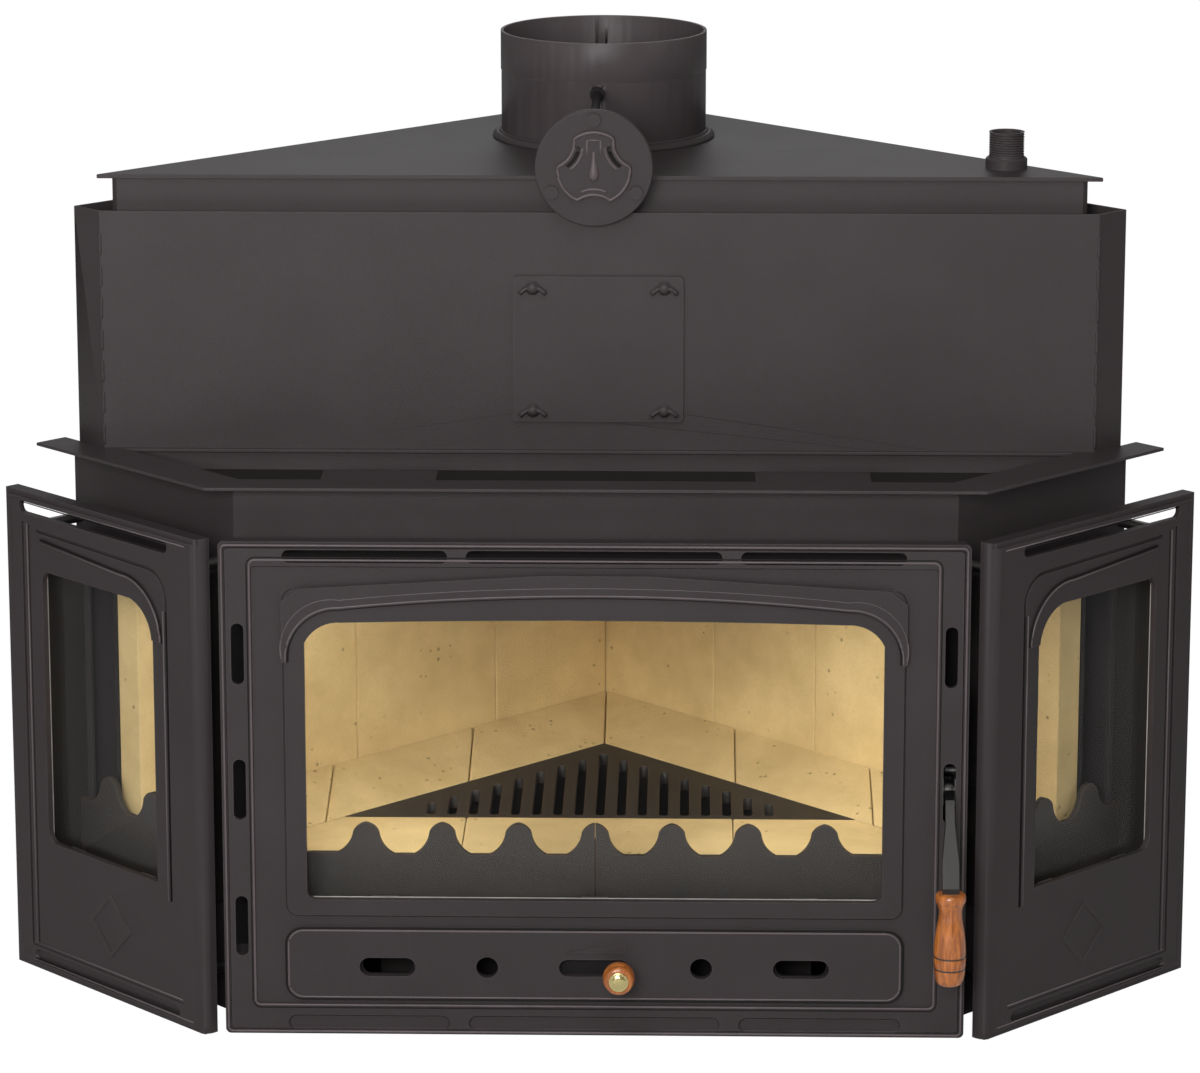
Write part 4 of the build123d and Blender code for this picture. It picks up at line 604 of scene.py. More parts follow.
class INSERT_OT_finishes(bpy.types.Operator):
    """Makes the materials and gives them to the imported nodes"""

    bl_idname = "insert.finishes"
    bl_label = "Finishes"

    def execute(self, context):
        colours = context.scene.insert_colours
        surface, edges = painted_surface_group(), edge_light_group()
        painted_metal("insert_cast_paint", tuple(colours.castings), surface, edges,
                      1100.0, 30.0, 0.00045, 0.45, 0.5)
        # The ridge paint is the casting colour made 2.6 times lighter: a painted highlight on the fine raised lines.
        ridge_highlight_colour = tinted(colours.castings, 2.6)
        painted_metal("insert_ridge_highlight_paint", ridge_highlight_colour, surface, edges, 1100.0, 30.0, 0.0003, 0.36, 0.5)
        # Near-black paint, 0.22 of the casting colour: painted shade for the lines beside the ridges, the film behind
        # the door's openings and the air slide; the damper shaft wears it too.
        shade = tinted(colours.castings, 0.22)
        # The collar paint is the sheet colour made 1.5 times lighter: a painted highlight on the flue collar.
        collar = tinted(colours.sheet, 1.5)
        painted_metal("insert_collar_highlight_paint", collar, surface, edges, 1500.0, 5.0, 0.0004, 0.34, 0.8)
        painted_metal("insert_shade_black_paint", shade, surface, edges, 1100.0, 30.0, 0.0003, 0.7, 0.0)
        painted_metal("insert_sheet_paint", tuple(colours.sheet), surface, edges,
                      1500.0, 5.0, 0.0006, 0.42, 0.35)
        painted_metal("insert_inner_steel", tuple(colours.inside), surface, edges,
                      800.0, 12.0, 0.0005, 0.62, 0.3)
        bare_cast_iron("insert_grate_iron", tuple(colours.iron), surface, edges)
        fireclay_brick("insert_fireclay", tuple(colours.fireclay), edges)
        heat_proof_glass("insert_clear_glass")
        woven_glass_fibre("insert_rope_seal")
        dark_steel("insert_fixings", 0.15, 0.30)
        dark_steel("insert_lever_steel", 0.030, 0.075)
        low = GRIP_LOW.z
        varnished_wood("insert_varnished_wood", tuple(colours.wood), (low + 0.0160, low + 0.0272))
        polished_brass("insert_brass_cap", tuple(colours.brass))
        for entry in frame["record"]["subparts"]:
            dress(NODES[entry["node"]], entry["material_slot"])
        for name in ("left_log_comb", "right_log_comb", "wing_log_combs"):
            dress(NODES[name], "grate_iron")
        # Painted shade: the air slide and its guides take the near-black paint, so the air openings read dark.
        for name in ("air_slide_plate", "air_slide_guides"):
            dress(NODES[name], "shade_black_paint")
        dress(NODES["handle_lever"], "lever_steel")
        dress(NODES["damper_rivets"], "cast_paint")
        dress(NODES["damper_shaft"], "shade_black_paint")
        # The flue collar takes the lighter paint of painted highlight.
        dress(NODES["flue_collar"], "collar_highlight_paint")
        return {"FINISHED"}


class INSERT_OT_edges(bpy.types.Operator):
    """Rounds the edges of castings, sheets and bricks"""

    bl_idname = "insert.edges"
    bl_label = "Round edges"

    def execute(self, context):
        sizes = context.scene.insert_sizes
        soften(("door_casting", "left_wing_panel", "right_wing_panel"), sizes.casting_round)
        soften(("grate", "left_log_comb", "right_log_comb", "wing_log_combs", "handle_lever",
                "damper_rivets"), sizes.casting_round * 0.8)
        soften(("front_shell", "front_flange", "convection_shroud", "upper_jacket_walls", "top_plate",
                "inspection_cover", "flue_collar", "flue_base_ring", "ash_pan", "hearth_plate", "door_sleeve",
                "jacket_outer_shell", "base_plate"), sizes.sheet_round)
        soften(("wall_bricks", "hearth_bricks"), sizes.brick_round, 3)
        return {"FINISHED"}


def beside(pairs, distance, closed=False):
    """The same line moved sideways by a distance, to the left of its run."""
    moved = []
    count = len(pairs)
    for index, (x, z) in enumerate(pairs):
        if closed:
            (ax, az), (bx, bz) = pairs[index - 1], pairs[(index + 1) % count]
        else:
            (ax, az), (bx, bz) = pairs[max(index - 1, 0)], pairs[min(index + 1, count - 1)]
        length = math.hypot(bx - ax, bz - az) or 1.0
        moved.append((x - (bz - az) / length * distance, z + (bx - ax) / length * distance))
    return moved


class CastLines:
    """Gathers the raised lines of a casting, in lighter paint as a painted highlight, and the near-black line of
    painted shade beside each.
    """

    def __init__(self, place):
        self.place = place
        self.ridges, self.shade_lines = bmesh.new(), bmesh.new()

    def add(self, pairs, proud, radius, hollow=0.0, closed=False):
        """A ridge; hollow is how far beside it, left of its run, the near-black line of painted shade lies."""
        tube(self.ridges, self.place(pairs, proud), radius, 10, closed)
        if hollow:
            shade_line = self.place(beside(pairs, hollow, closed), proud - radius * 0.25)
            tube(self.shade_lines, shade_line, radius * 0.9, 8, closed)

    def finish(self, name, body):
        """Makes the ridges and the lines of painted shade two pieces of a body."""
        # The ridges take the lighter ridge paint, a painted highlight.
        mesh_piece(name, self.ridges, "cast_paint", body, look="ridge_highlight_paint")
        # The grooves piece is painted shade: near-black lines beside the ridges.
        mesh_piece(name.replace("lines", "grooves"), self.shade_lines, "cast_paint", body, look="shade_black_paint")


class INSERT_OT_door_relief(bpy.types.Operator):
    """Adds the fine raised lines of the door casting"""

    bl_idname = "insert.door_relief"
    bl_label = "Door relief"

    def execute(self, context):
        line = context.scene.insert_sizes.relief_line
        half, low, high = DOOR_HIGH.x, DOOR_LOW.z, DOOR_HIGH.z
        cast = CastLines(on_door)
        step = DOOR_EDGE_INSET
        border = rounded_rectangle(-half + step, half - step, low + step, high - step, 0.004)
        cast.add(border, -0.0006, line * 0.8, closed=True)
        cast.add(rounded_rectangle(*AIR_PANEL, 0.0135), 0.0010, line * 0.8, -0.0024, True)
        shoulder_x, shoulder = ARCH_SHOULDER
        for rise, size in ((0.0015, 0.75), (0.0085, 0.6)):
            foot = (ARCH_FOOT[0] + rise * 0.4, ARCH_FOOT[1])
            bend = (ARCH_BEND[0] + rise, ARCH_BEND[1] + rise * 0.6)
            right = through_points(foot, bend, (shoulder_x, shoulder + rise))
            top = through_points((shoulder_x, shoulder + rise), (0.0, ARCH_CROWN + rise),
                                 (-shoulder_x, shoulder + rise), 40)
            left = [(-x, z) for x, z in reversed(right)]
            cast.add(right + top[1:] + left[1:], 0.0030, line * size, 0.0019)
        cast.add(rounded_rectangle(*DOOR_FIELD, 0.005), -0.0004, line * 0.8, -0.0024, True)
        cast.add(list(POINTER), 0.0006, line * 0.7, -0.0016, True)
        cast.finish("door_relief_lines", "door")
        return {"FINISHED"}


class INSERT_OT_wing_relief(bpy.types.Operator):
    """Adds the fine raised lines of both wing castings"""

    bl_idname = "insert.wing_relief"
    bl_label = "Wing relief"

    def execute(self, context):
        line = context.scene.insert_sizes.relief_line
        for side, label in ((1, "right"), (-1, "left")):
            cast = CastLines(lambda pairs, proud=0.0, side=side: on_wing(pairs, side, proud))
            cast.add([(0.2505, 0.028), (0.2505, 0.440)], -0.0003, line * 0.8, 0.0030)
            border = [(0.016, 0.0105), (0.2745, 0.0105), (0.2745, 0.4615), (0.016, 0.4615)]
            cast.add(border, -0.0006, line * 0.7, 0.0028)
            arch = through_points((0.0520, 0.365), (0.072, 0.406), (0.110, 0.418), 16)
            cast.add(arch + [(0.229, 0.4265)], 0.0012, line * 0.7, 0.0022)
            cast.add([(0.0485, 0.120), (0.0485, 0.395)], -0.0004, line * 0.7, 0.0030)
            cast.add([(0.030, 0.0285), (0.256, 0.0285)], -0.0004, line * 0.7, -0.0028)
            cast.finish(f"{label}_wing_relief_lines", "insert")
        return {"FINISHED"}


class INSERT_OT_shade_film(bpy.types.Operator):
    """Lays the matt black film of painted shade behind the door's openings and the lap of the two front combs"""

    bl_idname = "insert.soot"
    bl_label = "Black film and comb lap"

    def execute(self, context):
        bm = bmesh.new()
        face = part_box("front_shell")[0].y
        for x0, x1, z0, z1 in DARK_AREAS:
            corners = [Vector((x, face - FILM_GAP, z)) for x, z in ((x0, z0), (x1, z0), (x1, z1), (x0, z1))]
            bm.faces.new([bm.verts.new(corner) for corner in corners])
        # The film is painted shade: a near-black sheet behind openings that show only shade.
        mesh_piece("shade_film_sheet", bm, "sheet_paint", "insert", False, "shade_black_paint")
        low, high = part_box("left_log_comb")
        bm = bmesh.new()
        seam = [Vector((0.0, high.y + 0.0006, z)) for z in (low.z + 0.001, low.z + 0.030, high.z - 0.016)]
        tube(bm, seam, 0.0024, 12)
        mesh_piece("comb_lap", bm, "cast_paint", "insert", look="grate_iron")
        return {"FINISHED"}


def flat_outline(curve, points):
    """Adds one closed outline of (x, z) pairs to a flat curve."""
    spline = curve.splines.new("POLY")
    spline.points.add(len(points) - 1)
    for place, (x, z) in zip(spline.points, points):
        place.co = (x, z, 0.0, 1.0)
    spline.use_cyclic_u = True


def cut_plate(name, outlines, centre, thick, rounding, slot, body):
    """Plate facing the room with rounded edges; the first outline is its edge, the others are openings."""
    curve = bpy.data.curves.new(name, "CURVE")
    curve.dimensions = "2D"
    curve.fill_mode = "BOTH"
    curve.extrude = thick / 2 - rounding
    curve.bevel_depth = rounding
    curve.bevel_resolution = 2
    curve.offset = -rounding
    for points in outlines:
        flat_outline(curve, points)
    shape = bpy.data.objects.new(name, curve)
    bpy.context.scene.collection.objects.link(shape)
    bpy.context.view_layer.update()
    mesh = bpy.data.meshes.new_from_object(shape.evaluated_get(bpy.context.evaluated_depsgraph_get()))
    bpy.data.objects.remove(shape)
    bm = bmesh.new()
    bm.from_mesh(mesh)
    for vert in bm.verts:
        vert.co = centre + Vector((vert.co.x, -vert.co.z, vert.co.y))
    bmesh.ops.remove_doubles(bm, verts=bm.verts, dist=0.00002)
    bpy.data.meshes.remove(mesh)
    return mesh_piece(name, bm, slot, body, smooth=False)


def polar(angle, radius):
    """Point of the disc at an angle in degrees, as an (x, z) pair."""
    return (radius * math.cos(math.radians(angle)), radius * math.sin(math.radians(angle)))


def three_lobes(lobe, waist, half_angle):
    """Outline of three broad lobes, top and lower left and right, joined by hollows."""
    points = []
    for middle in LOBE_MIDDLES:
        points += through_points(polar(middle - half_angle, lobe), polar(middle, lobe * 1.02),
                                 polar(middle + half_angle, lobe), 14)[:-1]
        points += through_points(polar(middle + half_angle, lobe), polar(middle + 60, waist),
                                 polar(middle + 120 - half_angle, lobe), 14)[:-1]
    return points


def hollow_slot(middle, lobe, waist, half_angle, near, far, trim):
    """Curved opening that follows a hollow of the lobes, between two distances from its edge."""
    first = polar(middle - 60 + half_angle, lobe)
    last = polar(middle + 60 - half_angle, lobe)
    sides = []
    for inward in (near, far):
        pull = Vector(polar(middle, inward))
        arc = through_points(first, polar(middle, waist), last, 24)[trim:-trim]
        sides.append([(x - pull.x, z - pull.y) for x, z in arc])
    return sides[0] + sides[1][::-1]


class INSERT_OT_damper(bpy.types.Operator):
    """Cuts the damper disc and its rosette with their two openings"""

    bl_idname = "insert.damper"
    bl_label = "Damper disc"

    def execute(self, context):
        low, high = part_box("damper_disc")
        centre = (low + high) / 2
        radius = (high.x - low.x) / 2
        openings = [hollow_slot(middle, LOBE, WAIST, LOBE_ANGLE, 0.0040, 0.0076, 4)
                    for middle in OPENING_MIDDLES]
        edge = [polar(3 * k, radius) for k in range(120)]
        disc = cut_plate("cut_damper_disc", [edge] + openings, centre, high.y - low.y, 0.0012,
                         "cast_paint", "damper")
        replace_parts(disc, "damper_disc")
        front = Vector((centre.x, low.y, centre.z))
        outline = three_lobes(LOBE, WAIST, LOBE_ANGLE)
        plate = cut_plate("rosette_plate", [outline] + openings, front + Vector((0, -0.0011, 0)),
                          0.0022, 0.0004, "cast_paint", "damper")
        bm = bmesh.new()
        rim = [front + Vector((x * 0.955, -0.0022, z * 0.955)) for x, z in outline]
        tube(bm, rim, 0.0015, 8, True)
        for middle in HOLLOW_MIDDLES:
            ends = [polar(middle + turn, LOBE) for turn in (-27, 27)]
            arc = through_points(ends[0], polar(middle, WAIST), ends[1], 20)[3:-3]
            shift = Vector(polar(middle, 0.0098 if middle != 270 else 0.0062))
            ridge = [front + Vector((x - shift.x, -0.0020, z - shift.y)) for x, z in arc]
            tube(bm, ridge, 0.0011, 8)
        lathe(bm, [(0.0, -0.0060), (0.0030, -0.0052), (0.0046, -0.0026), (0.0049, 0.0006), (0.0040, 0.0050),
                   (0.0026, 0.0105), (0.0016, 0.0170), (0.0014, 0.0215), (0.0, 0.0220)],
              front + Vector((0, -0.0016, -0.006)), Vector((0, 0, 1)), 20)
        for first, last in (((-0.0062, 0.0262), (0.0062, 0.0262)), ((-0.0062, 0.0262), (-0.0062, 0.0120)),
                            ((0.0062, 0.0262), (0.0062, 0.0120))):
            ends = [front + Vector((x, -0.0020, z)) for x, z in (first, last)]
            tube(bm, ends, 0.0009, 8)
        # The rosette's raised lines take the lighter ridge paint, a painted highlight.
        mesh_piece("rosette_relief", bm, "cast_paint", "damper", look="ridge_highlight_paint")
        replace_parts(plate, "damper_rosette")
        return {"FINISHED"}


class INSERT_OT_cover_bolts(bpy.types.Operator):
    """Makes the four winged screws of the inspection cover"""

    bl_idname = "insert.cover_bolts"
    bl_label = "Cover screws"

    def execute(self, context):
        low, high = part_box("inspection_cover_bolts")
        head = 0.0075
        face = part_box("inspection_cover")[0].y
        bm = bmesh.new()
        for x in (low.x + head, high.x - head):
            for z in (low.z + head * 0.87, high.z - head * 0.87):
                centre = Vector((x, face, z))
                dome = [(0, 0), (0.0066, 0), (0.0066, 0.0012), (0.0050, 0.0016), (0.0046, 0.0036),
                        (0.0036, 0.0048), (0.0, 0.0052)]
                lathe(bm, dome, centre, TO_ROOM, 28)
                for side in (-1, 1):
                    wing = [centre + Vector((side * reach, -0.0022, -drop)) for reach, drop in
                            ((0.0035, -0.0006), (0.0070, 0.0008), (0.0100, 0.0030), (0.0122, 0.0052))]
                    tube(bm, wing, 0.0021, 10)
        screws = mesh_piece("cover_screws", bm, "sheet_paint", "insert")
        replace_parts(screws, "inspection_cover_bolts")
        return {"FINISHED"}


class INSERT_OT_grip(bpy.types.Operator):
    """Turns the wooden grip of the handle, with its collar, neck and grooves"""

    bl_idname = "insert.grip"
    bl_label = "Handle grip"

    def execute(self, context):
        height = GRIP_HIGH.z - GRIP_LOW.z
        centre = Vector(((GRIP_LOW.x + GRIP_HIGH.x) / 2, (GRIP_LOW.y + GRIP_HIGH.y) / 2, GRIP_LOW.z))
        belly = (GRIP_HIGH.x - GRIP_LOW.x) / 2
        shape = [(0, 0), (0.55, 0), (0.70, 0.008), (0.80, 0.025), (0.88, 0.065), (0.94, 0.12), (0.970, 0.176),
                 (0.935, 0.186), (0.980, 0.196), (0.992, 0.25), (0.998, 0.306), (0.955, 0.316), (1.0, 0.326),
                 (0.995, 0.37), (0.98, 0.43), (0.945, 0.50), (0.88, 0.58), (0.80, 0.66), (0.735, 0.72),
                 (0.70, 0.77), (0.70, 0.80), (0.735, 0.835), (0.80, 0.865), (0.82, 0.875), (0.80, 0.884),
                 (0.885, 0.895), (0.935, 0.915), (0.95, 0.945), (0.93, 0.975), (0.86, 0.995), (0.70, 1.0), (0.30, 1.0)]
        bm = bmesh.new()
        lathe(bm, [(r * belly, h * height) for r, h in shape], centre, Vector((0, 0, 1)), 56)
        grip = mesh_piece("turned_grip", bm, "varnished_wood", "handle")
        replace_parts(grip, "handle_grip")
        return {"FINISHED"}


class INSERT_OT_air_knob(bpy.types.Operator):
    """Turns the wooden air knob and its brass cap"""

    bl_idname = "insert.air_knob"
    bl_label = "Air knob"

    def execute(self, context):
        front, back = KNOB_LOW.y, KNOB_HIGH.y
        centre = Vector(((KNOB_LOW.x + KNOB_HIGH.x) / 2, back, (KNOB_LOW.z + KNOB_HIGH.z) / 2))
        radius = (KNOB_HIGH.z - KNOB_LOW.z) / 2
        deep = back - front
        shape = [(0.28, 0), (0.62, 0), (0.74, 0.04), (0.90, 0.18), (0.99, 0.36), (1.0, 0.48), (0.985, 0.60),
                 (0.95, 0.70), (0.91, 0.74), (0.93, 0.78), (0.90, 0.88), (0.82, 0.96), (0.72, 1.0),
                 (0.0, 1.0)]
        bm = bmesh.new()
        lathe(bm, [(r * radius, h * deep) for r, h in shape], centre, TO_ROOM)
        knob = mesh_piece("turned_air_knob", bm, "varnished_wood", "air_slide")
        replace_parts(knob, "air_knob")
        cap_radius = (CAP_HIGH.x - CAP_LOW.x) / 2
        thick = CAP_HIGH.y - CAP_LOW.y
        shape = [(0.0, 0), (0.95, 0), (1.0, 0.12), (1.0, 0.30), (0.96, 0.42), (0.86, 0.46), (0.82, 0.40),
                 (0.78, 0.46), (0.66, 0.72), (0.45, 0.90), (0.22, 0.98), (0.0, 1.0)]
        bm = bmesh.new()
        base = Vector((centre.x, CAP_HIGH.y, centre.z))
        lathe(bm, [(r * cap_radius, h * thick) for r, h in shape], base, TO_ROOM)
        cap = mesh_piece("domed_brass_cap", bm, "brass_cap", "air_slide")
        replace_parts(cap, "air_knob_cap")
        return {"FINISHED"}


def threaded_stub(name, node, foot, axis, length, sizes):
    """Pipe stub with a base collar, a helical thread and an open bore, in place of its node."""
    outer, bore, base = 0.0166, 0.0135, 0.0195
    axis = axis.normalized()
    side = axis.orthogonal().normalized()
    other = axis.cross(side)
    around, start = 72, 0.010
    heights = [start + (length - start) * k / 110 for k in range(111)]
    bm = bmesh.new()
    rows = []

    def ring(radius_at, height):
        verts = []
        for k in range(around):
            turn = 2 * math.pi * k / around
            radius = radius_at(turn, height)
            out = side * math.cos(turn) + other * math.sin(turn)
            verts.append(bm.verts.new(foot + axis * height + out * radius))
        return verts

    def thread(turn, height):
        phase = (height / sizes.thread_pitch + turn / (2 * math.pi)) % 1.0
        fade = min(1.0, (height - start) / 0.004, max(0.0, (length - height) / 0.001))
        return outer - sizes.thread_depth * fade * abs(2 * phase - 1)

    for radius, height in ((base, 0.0), (base, 0.0085), (base - 0.0015, 0.010), (outer, 0.010)):
        rows.append(ring(lambda turn, h, r=radius: r, height))
    rows += [ring(thread, height) for height in heights]
    for radius, height in ((bore + 0.001, length), (bore, length - 0.001), (bore, 0.0)):
        rows.append(ring(lambda turn, h, r=radius: r, height))
    skin(bm, rows, True)
    stub = mesh_piece(name, bm, "sheet_paint", "insert", smooth=False)
    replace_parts(stub, node)


class INSERT_OT_pipe_stubs(bpy.types.Operator):
    """Cuts the pipe threads of both water connections"""

    bl_idname = "insert.pipe_stubs"
    bl_label = "Water connections"

    def execute(self, context):
        sizes = context.scene.insert_sizes
        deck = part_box("top_plate")[1].z
        centre = Vector(((OUTLET_LOW.x + OUTLET_HIGH.x) / 2, (OUTLET_LOW.y + OUTLET_HIGH.y) / 2, deck))
        threaded_stub("threaded_outlet", "water_outlet_nipple", centre, UP, OUTLET_HIGH.z - deck, sizes)
        low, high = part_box("water_return_nipple")
        radius = (high.z - low.z) / 2
        length = ((high.x - low.x) - radius * ROOT2) * ROOT2
        axis = Vector((-1, 1, 0)) / ROOT2
        foot = Vector((high.x - radius / ROOT2, low.y + radius / ROOT2, (low.z + high.z) / 2))
        threaded_stub("threaded_return", "water_return_nipple", foot, axis, min(length, 0.040), sizes)
        return {"FINISHED"}


class INSERT_OT_welds(bpy.types.Operator):
    """Lays the weld seams of shroud and collar"""

    bl_idname = "insert.welds"
    bl_label = "Weld seams"

    def execute(self, context):
        radius = context.scene.insert_sizes.weld_radius

        def scales(length):
            return 0.82 + 0.22 * abs(math.sin(length / 0.0032))

        bm = bmesh.new()
        middle = (COLLAR_LOW + COLLAR_HIGH) / 2
        wall = (COLLAR_HIGH.x - COLLAR_LOW.x) / 2
        ring = []
        for k in range(360):
            turn = 2 * math.pi * k / 360
            x, y = middle.x + wall * math.cos(turn), middle.y + wall * math.sin(turn)
            ring.append(Vector((x, y, RING_HIGH.z)))
        tube(bm, ring, radius * 1.3, 8, True, scales)
        mesh_piece("collar_weld", bm, "sheet_paint", "insert")
        bm = bmesh.new()
        front = SHROUD_LOW.y
        for side in (-1, 1):
            x = side * 0.4618
            low, step = 0.513, 0.030
            while low + 0.020 < SHROUD_HIGH.z:
                seam = [Vector((x, front + 0.0004, low + 0.020 * k / 14)) for k in range(15)]
                tube(bm, seam, radius, 8, False, scales)
                low += step
        mesh_piece("shroud_welds", bm, "sheet_paint", "insert")
        return {"FINISHED"}


def seal_ring(bm, corner_points, across, deep, normal, braid):
    """Adds a rope lying round a rectangle; across and deep are its half sizes."""
    points = []
    for first, second in zip(corner_points, corner_points[1:] + corner_points[:1]):
        steps = max(2, int((second - first).length / 0.0025))
        points += [first.lerp(second, k / steps) for k in range(steps)]
    rings = []
    count = len(points)
    sides = 12
    for index, point in enumerate(points):
        way = (points[(index + 1) % count] - points[index - 1]).normalized()
        side = way.cross(normal).normalized()
        ring = []
        for step in range(sides):
            turn = 2 * math.pi * step / sides
            strands = math.sin(index * 1.25 + 3 * turn) * math.sin(index * 1.25 - 3 * turn)
            weave = 1.0 - braid * (0.5 + 0.5 * strands)
            ring.append(bm.verts.new(point + side * math.cos(turn) * across * weave
                                     + normal * math.sin(turn) * deep * weave))
        rings.append(ring)
    skin(bm, rings, True)


def door_corners(x, level, low, high):
    """Corners of a rectangle centred on the door, at the depth level."""
    return [Vector(p) for p in ((-x, level, low), (x, level, low), (x, level, high), (-x, level, high))]


class INSERT_OT_seals(bpy.types.Operator):
    """Braids the rope seals and lays the flat glass gaskets"""

    bl_idname = "insert.seals"
    bl_label = "Seals"

    def execute(self, context):
        out = TO_ROOM
        deep = (ROPE_HIGH.y - ROPE_LOW.y) / 2
        level = (ROPE_LOW.y + ROPE_HIGH.y) / 2
        across = 0.005
        x, low, high = ROPE_HIGH.x - across, ROPE_LOW.z + across, ROPE_HIGH.z - across
        bm = bmesh.new()
        seal_ring(bm, door_corners(x, level, low, high), across, deep, out, 0.12)
        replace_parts(mesh_piece("braided_door_rope", bm, "rope_seal", "door"), "door_rope_seal")
        thick = (GASKET_HIGH.y - GASKET_LOW.y) / 2
        level = (GASKET_LOW.y + GASKET_HIGH.y) / 2
        tape = 0.0048
        x, low, high = GASKET_HIGH.x - tape, GASKET_LOW.z + tape, GASKET_HIGH.z - tape
        bm = bmesh.new()
        seal_ring(bm, door_corners(x, level, low, high), tape, thick, out, 0.04)
        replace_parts(mesh_piece("door_glass_tape", bm, "rope_seal", "door"), "door_glass_gasket")
        for node, piece, u0, u1, z0, z1, half, depth, deep, braid in (
                ("wing_rope_seals", "braided_wing_ropes",
                 0.0455, 0.2475, 0.1095, 0.4205, 0.0025, 0.010, 0.004, 0.12),
                ("wing_glass_gaskets", "wing_glass_tapes",
                 0.0590, 0.2340, 0.1290, 0.4040, 0.0040, 0.0075, 0.0015, 0.04)):
            bm = bmesh.new()
            for side in (-1, 1):
                corners = on_wing([(u0, z0), (u1, z0), (u1, z1), (u0, z1)], side, -depth)
                normal = Vector((side * WING_OUT.x, WING_OUT.y, 0))
                seal_ring(bm, corners, half, deep, normal, braid)
            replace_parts(mesh_piece(piece, bm, "rope_seal", "insert"), node)
        return {"FINISHED"}


class INSERT_OT_stage(bpy.types.Operator):
    """Sets the camera, lamps, floor and backdrop"""

    bl_idname = "insert.stage"
    bl_label = "Stage"

    def execute(self, context):
        stage = context.scene.insert_stage
        lens = bpy.data.cameras.new("photo_camera")
        lens.sensor_width = 36.0
        lens.lens = stage.lens
        lens.shift_y = stage.rise
        lens.clip_end = 100.0
        camera = bpy.data.objects.new("photo_camera", lens)
        camera.location = stage.eye
        camera.rotation_euler = (math.radians(90) - stage.pitch, 0, stage.yaw)
        context.scene.collection.objects.link(camera)
        context.scene.camera = camera
        lamps = (
            ("overhead_softbox", (0.0, -1.9, 3.1), (0.0, -0.1, 0.5), 2.4, 1.6, 30.0),
            ("front_fill", (-0.6, -3.6, 1.55), (0.0, 0.0, 0.15), 1.5, 1.0, 72.0),
            ("left_fill", (-3.2, -2.4, 1.6), (0.0, -0.2, 0.4), 1.6, 1.6, 10.0),
            ("right_fill", (3.2, -2.4, 1.6), (0.0, -0.2, 0.4), 1.6, 1.6, 8.0),
            ("back_fill", (0.0, 3.4, 2.6), (0.0, 0.0, 0.4), 2.4, 1.6, 14.0),
            ("firebox_left", (-0.17, -0.335, 0.33), (-0.27, -0.19, 0.15), 0.07, 0.07, 0.40),
            ("firebox_right", (0.17, -0.335, 0.33), (0.27, -0.19, 0.15), 0.07, 0.07, 0.40),
        )
        for name, place, target, wide, high, power in lamps:
            light = bpy.data.lights.new(name, "AREA")
            light.shape = "RECTANGLE"
            light.size, light.size_y, light.energy = wide, high, power
            lamp = bpy.data.objects.new(name, light)
            lamp.location = place
            lamp.rotation_euler = (Vector(target) - Vector(place)).to_track_quat("-Z", "Y").to_euler()
            lamp.visible_camera = False
            lamp.visible_glossy = not name.startswith("firebox")
            lamp.visible_transmission = False
            context.scene.collection.objects.link(lamp)
        world = bpy.data.worlds.new("white_room")
        context.scene.world = world
        world.use_nodes = True
        tree = world.node_tree
        glow = tree.nodes["Background"]
        path = tree.nodes.new("ShaderNodeLightPath")
        seen = math_node(tree, "MAXIMUM", path.outputs["Is Camera Ray"], path.outputs["Is Transmission Ray"])
        strength = spread(tree, seen, 0.0, 1.0, stage.daylight, 1.0)
        tree.links.new(strength, glow.inputs["Strength"])
        glow.inputs["Color"].default_value = (1, 1, 1, 1)
        bm = bmesh.new()
        bmesh.ops.create_grid(bm, x_segments=1, y_segments=1, size=9.0)
        mesh = bpy.data.meshes.new("floor")
        bm.to_mesh(mesh)
        bm.free()
        floor = bpy.data.objects.new("floor", mesh)
        context.scene.collection.objects.link(floor)
        floor.location.z = -0.0005
        material, tree, shader, place = finish_nodes("white_floor")
        shader.inputs["Base Color"].default_value = (0.80, 0.80, 0.80, 1)
        shader.inputs["Roughness"].default_value = 0.9
        white = tree.nodes.new("ShaderNodeEmission")
        white.inputs["Strength"].default_value = 1.07
        path = tree.nodes.new("ShaderNodeLightPath")
        seen = math_node(tree, "MAXIMUM", path.outputs["Is Camera Ray"], path.outputs["Is Transmission Ray"])
        mixed = tree.nodes.new("ShaderNodeMixShader")
        tree.links.new(math_node(tree, "MULTIPLY", seen, 0.93), mixed.inputs["Fac"])
        tree.links.new(shader.outputs["BSDF"], mixed.inputs[1])
        tree.links.new(white.outputs["Emission"], mixed.inputs[2])
        tree.links.new(mixed.outputs["Shader"], tree.nodes["Material Output"].inputs["Surface"])
        floor.data.materials.append(material)
        context.scene.view_settings.view_transform = "Standard"
        return {"FINISHED"}


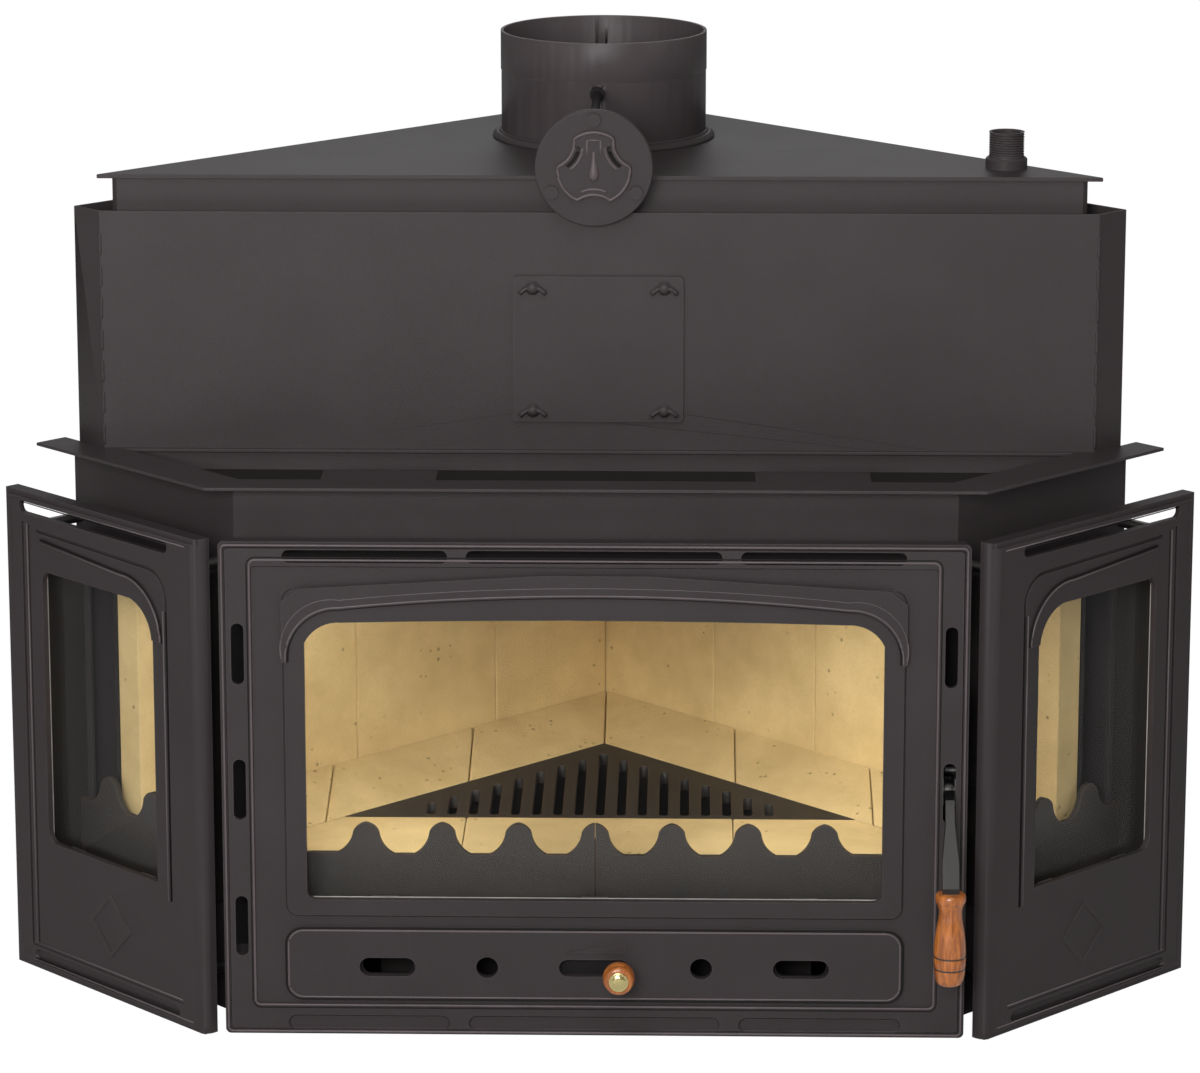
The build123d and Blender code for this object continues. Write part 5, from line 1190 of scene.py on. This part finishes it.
class INSERT_PT_panel(bpy.types.Panel):
    """Sidebar panel with the insert's steps and values"""

    bl_idname = "INSERT_PT_panel"
    bl_label = "Fireplace insert"
    bl_space_type = "VIEW_3D"
    bl_region_type = "UI"
    bl_category = "Insert"

    def draw(self, context):
        layout = self.layout
        for step in STEPS:
            layout.operator(step.bl_idname)
        for group in (context.scene.insert_colours, context.scene.insert_sizes, context.scene.insert_stage):
            box = layout.box()
            for key in group.bl_rna.properties.keys():
                if key not in ("rna_type", "name"):
                    box.prop(group, key)


STEPS = (INSERT_OT_finishes, INSERT_OT_edges, INSERT_OT_door_relief, INSERT_OT_wing_relief,
         INSERT_OT_shade_film, INSERT_OT_damper, INSERT_OT_cover_bolts, INSERT_OT_grip, INSERT_OT_air_knob,
         INSERT_OT_pipe_stubs, INSERT_OT_welds, INSERT_OT_seals, INSERT_OT_stage)
GROUPS = (InsertColours, InsertSizes, InsertStage)


def register():
    for item in (*GROUPS, *STEPS, INSERT_PT_panel):
        bpy.utils.register_class(item)
    bpy.types.Scene.insert_colours = bpy.props.PointerProperty(type=InsertColours)
    bpy.types.Scene.insert_sizes = bpy.props.PointerProperty(type=InsertSizes)
    bpy.types.Scene.insert_stage = bpy.props.PointerProperty(type=InsertStage)


def unregister():
    del bpy.types.Scene.insert_stage
    del bpy.types.Scene.insert_sizes
    del bpy.types.Scene.insert_colours
    for item in reversed((*GROUPS, *STEPS, INSERT_PT_panel)):
        bpy.utils.unregister_class(item)


def main():
    """Registers the add-on and runs its steps in order."""
    register()
    bpy.ops.insert.stage()
    bpy.ops.insert.finishes()
    bpy.ops.insert.edges()
    bpy.ops.insert.door_relief()
    bpy.ops.insert.wing_relief()
    bpy.ops.insert.soot()
    bpy.ops.insert.damper()
    bpy.ops.insert.cover_bolts()
    bpy.ops.insert.grip()
    bpy.ops.insert.air_knob()
    bpy.ops.insert.pipe_stubs()
    bpy.ops.insert.welds()
    bpy.ops.insert.seals()


if __name__ == "__main__":
    main()
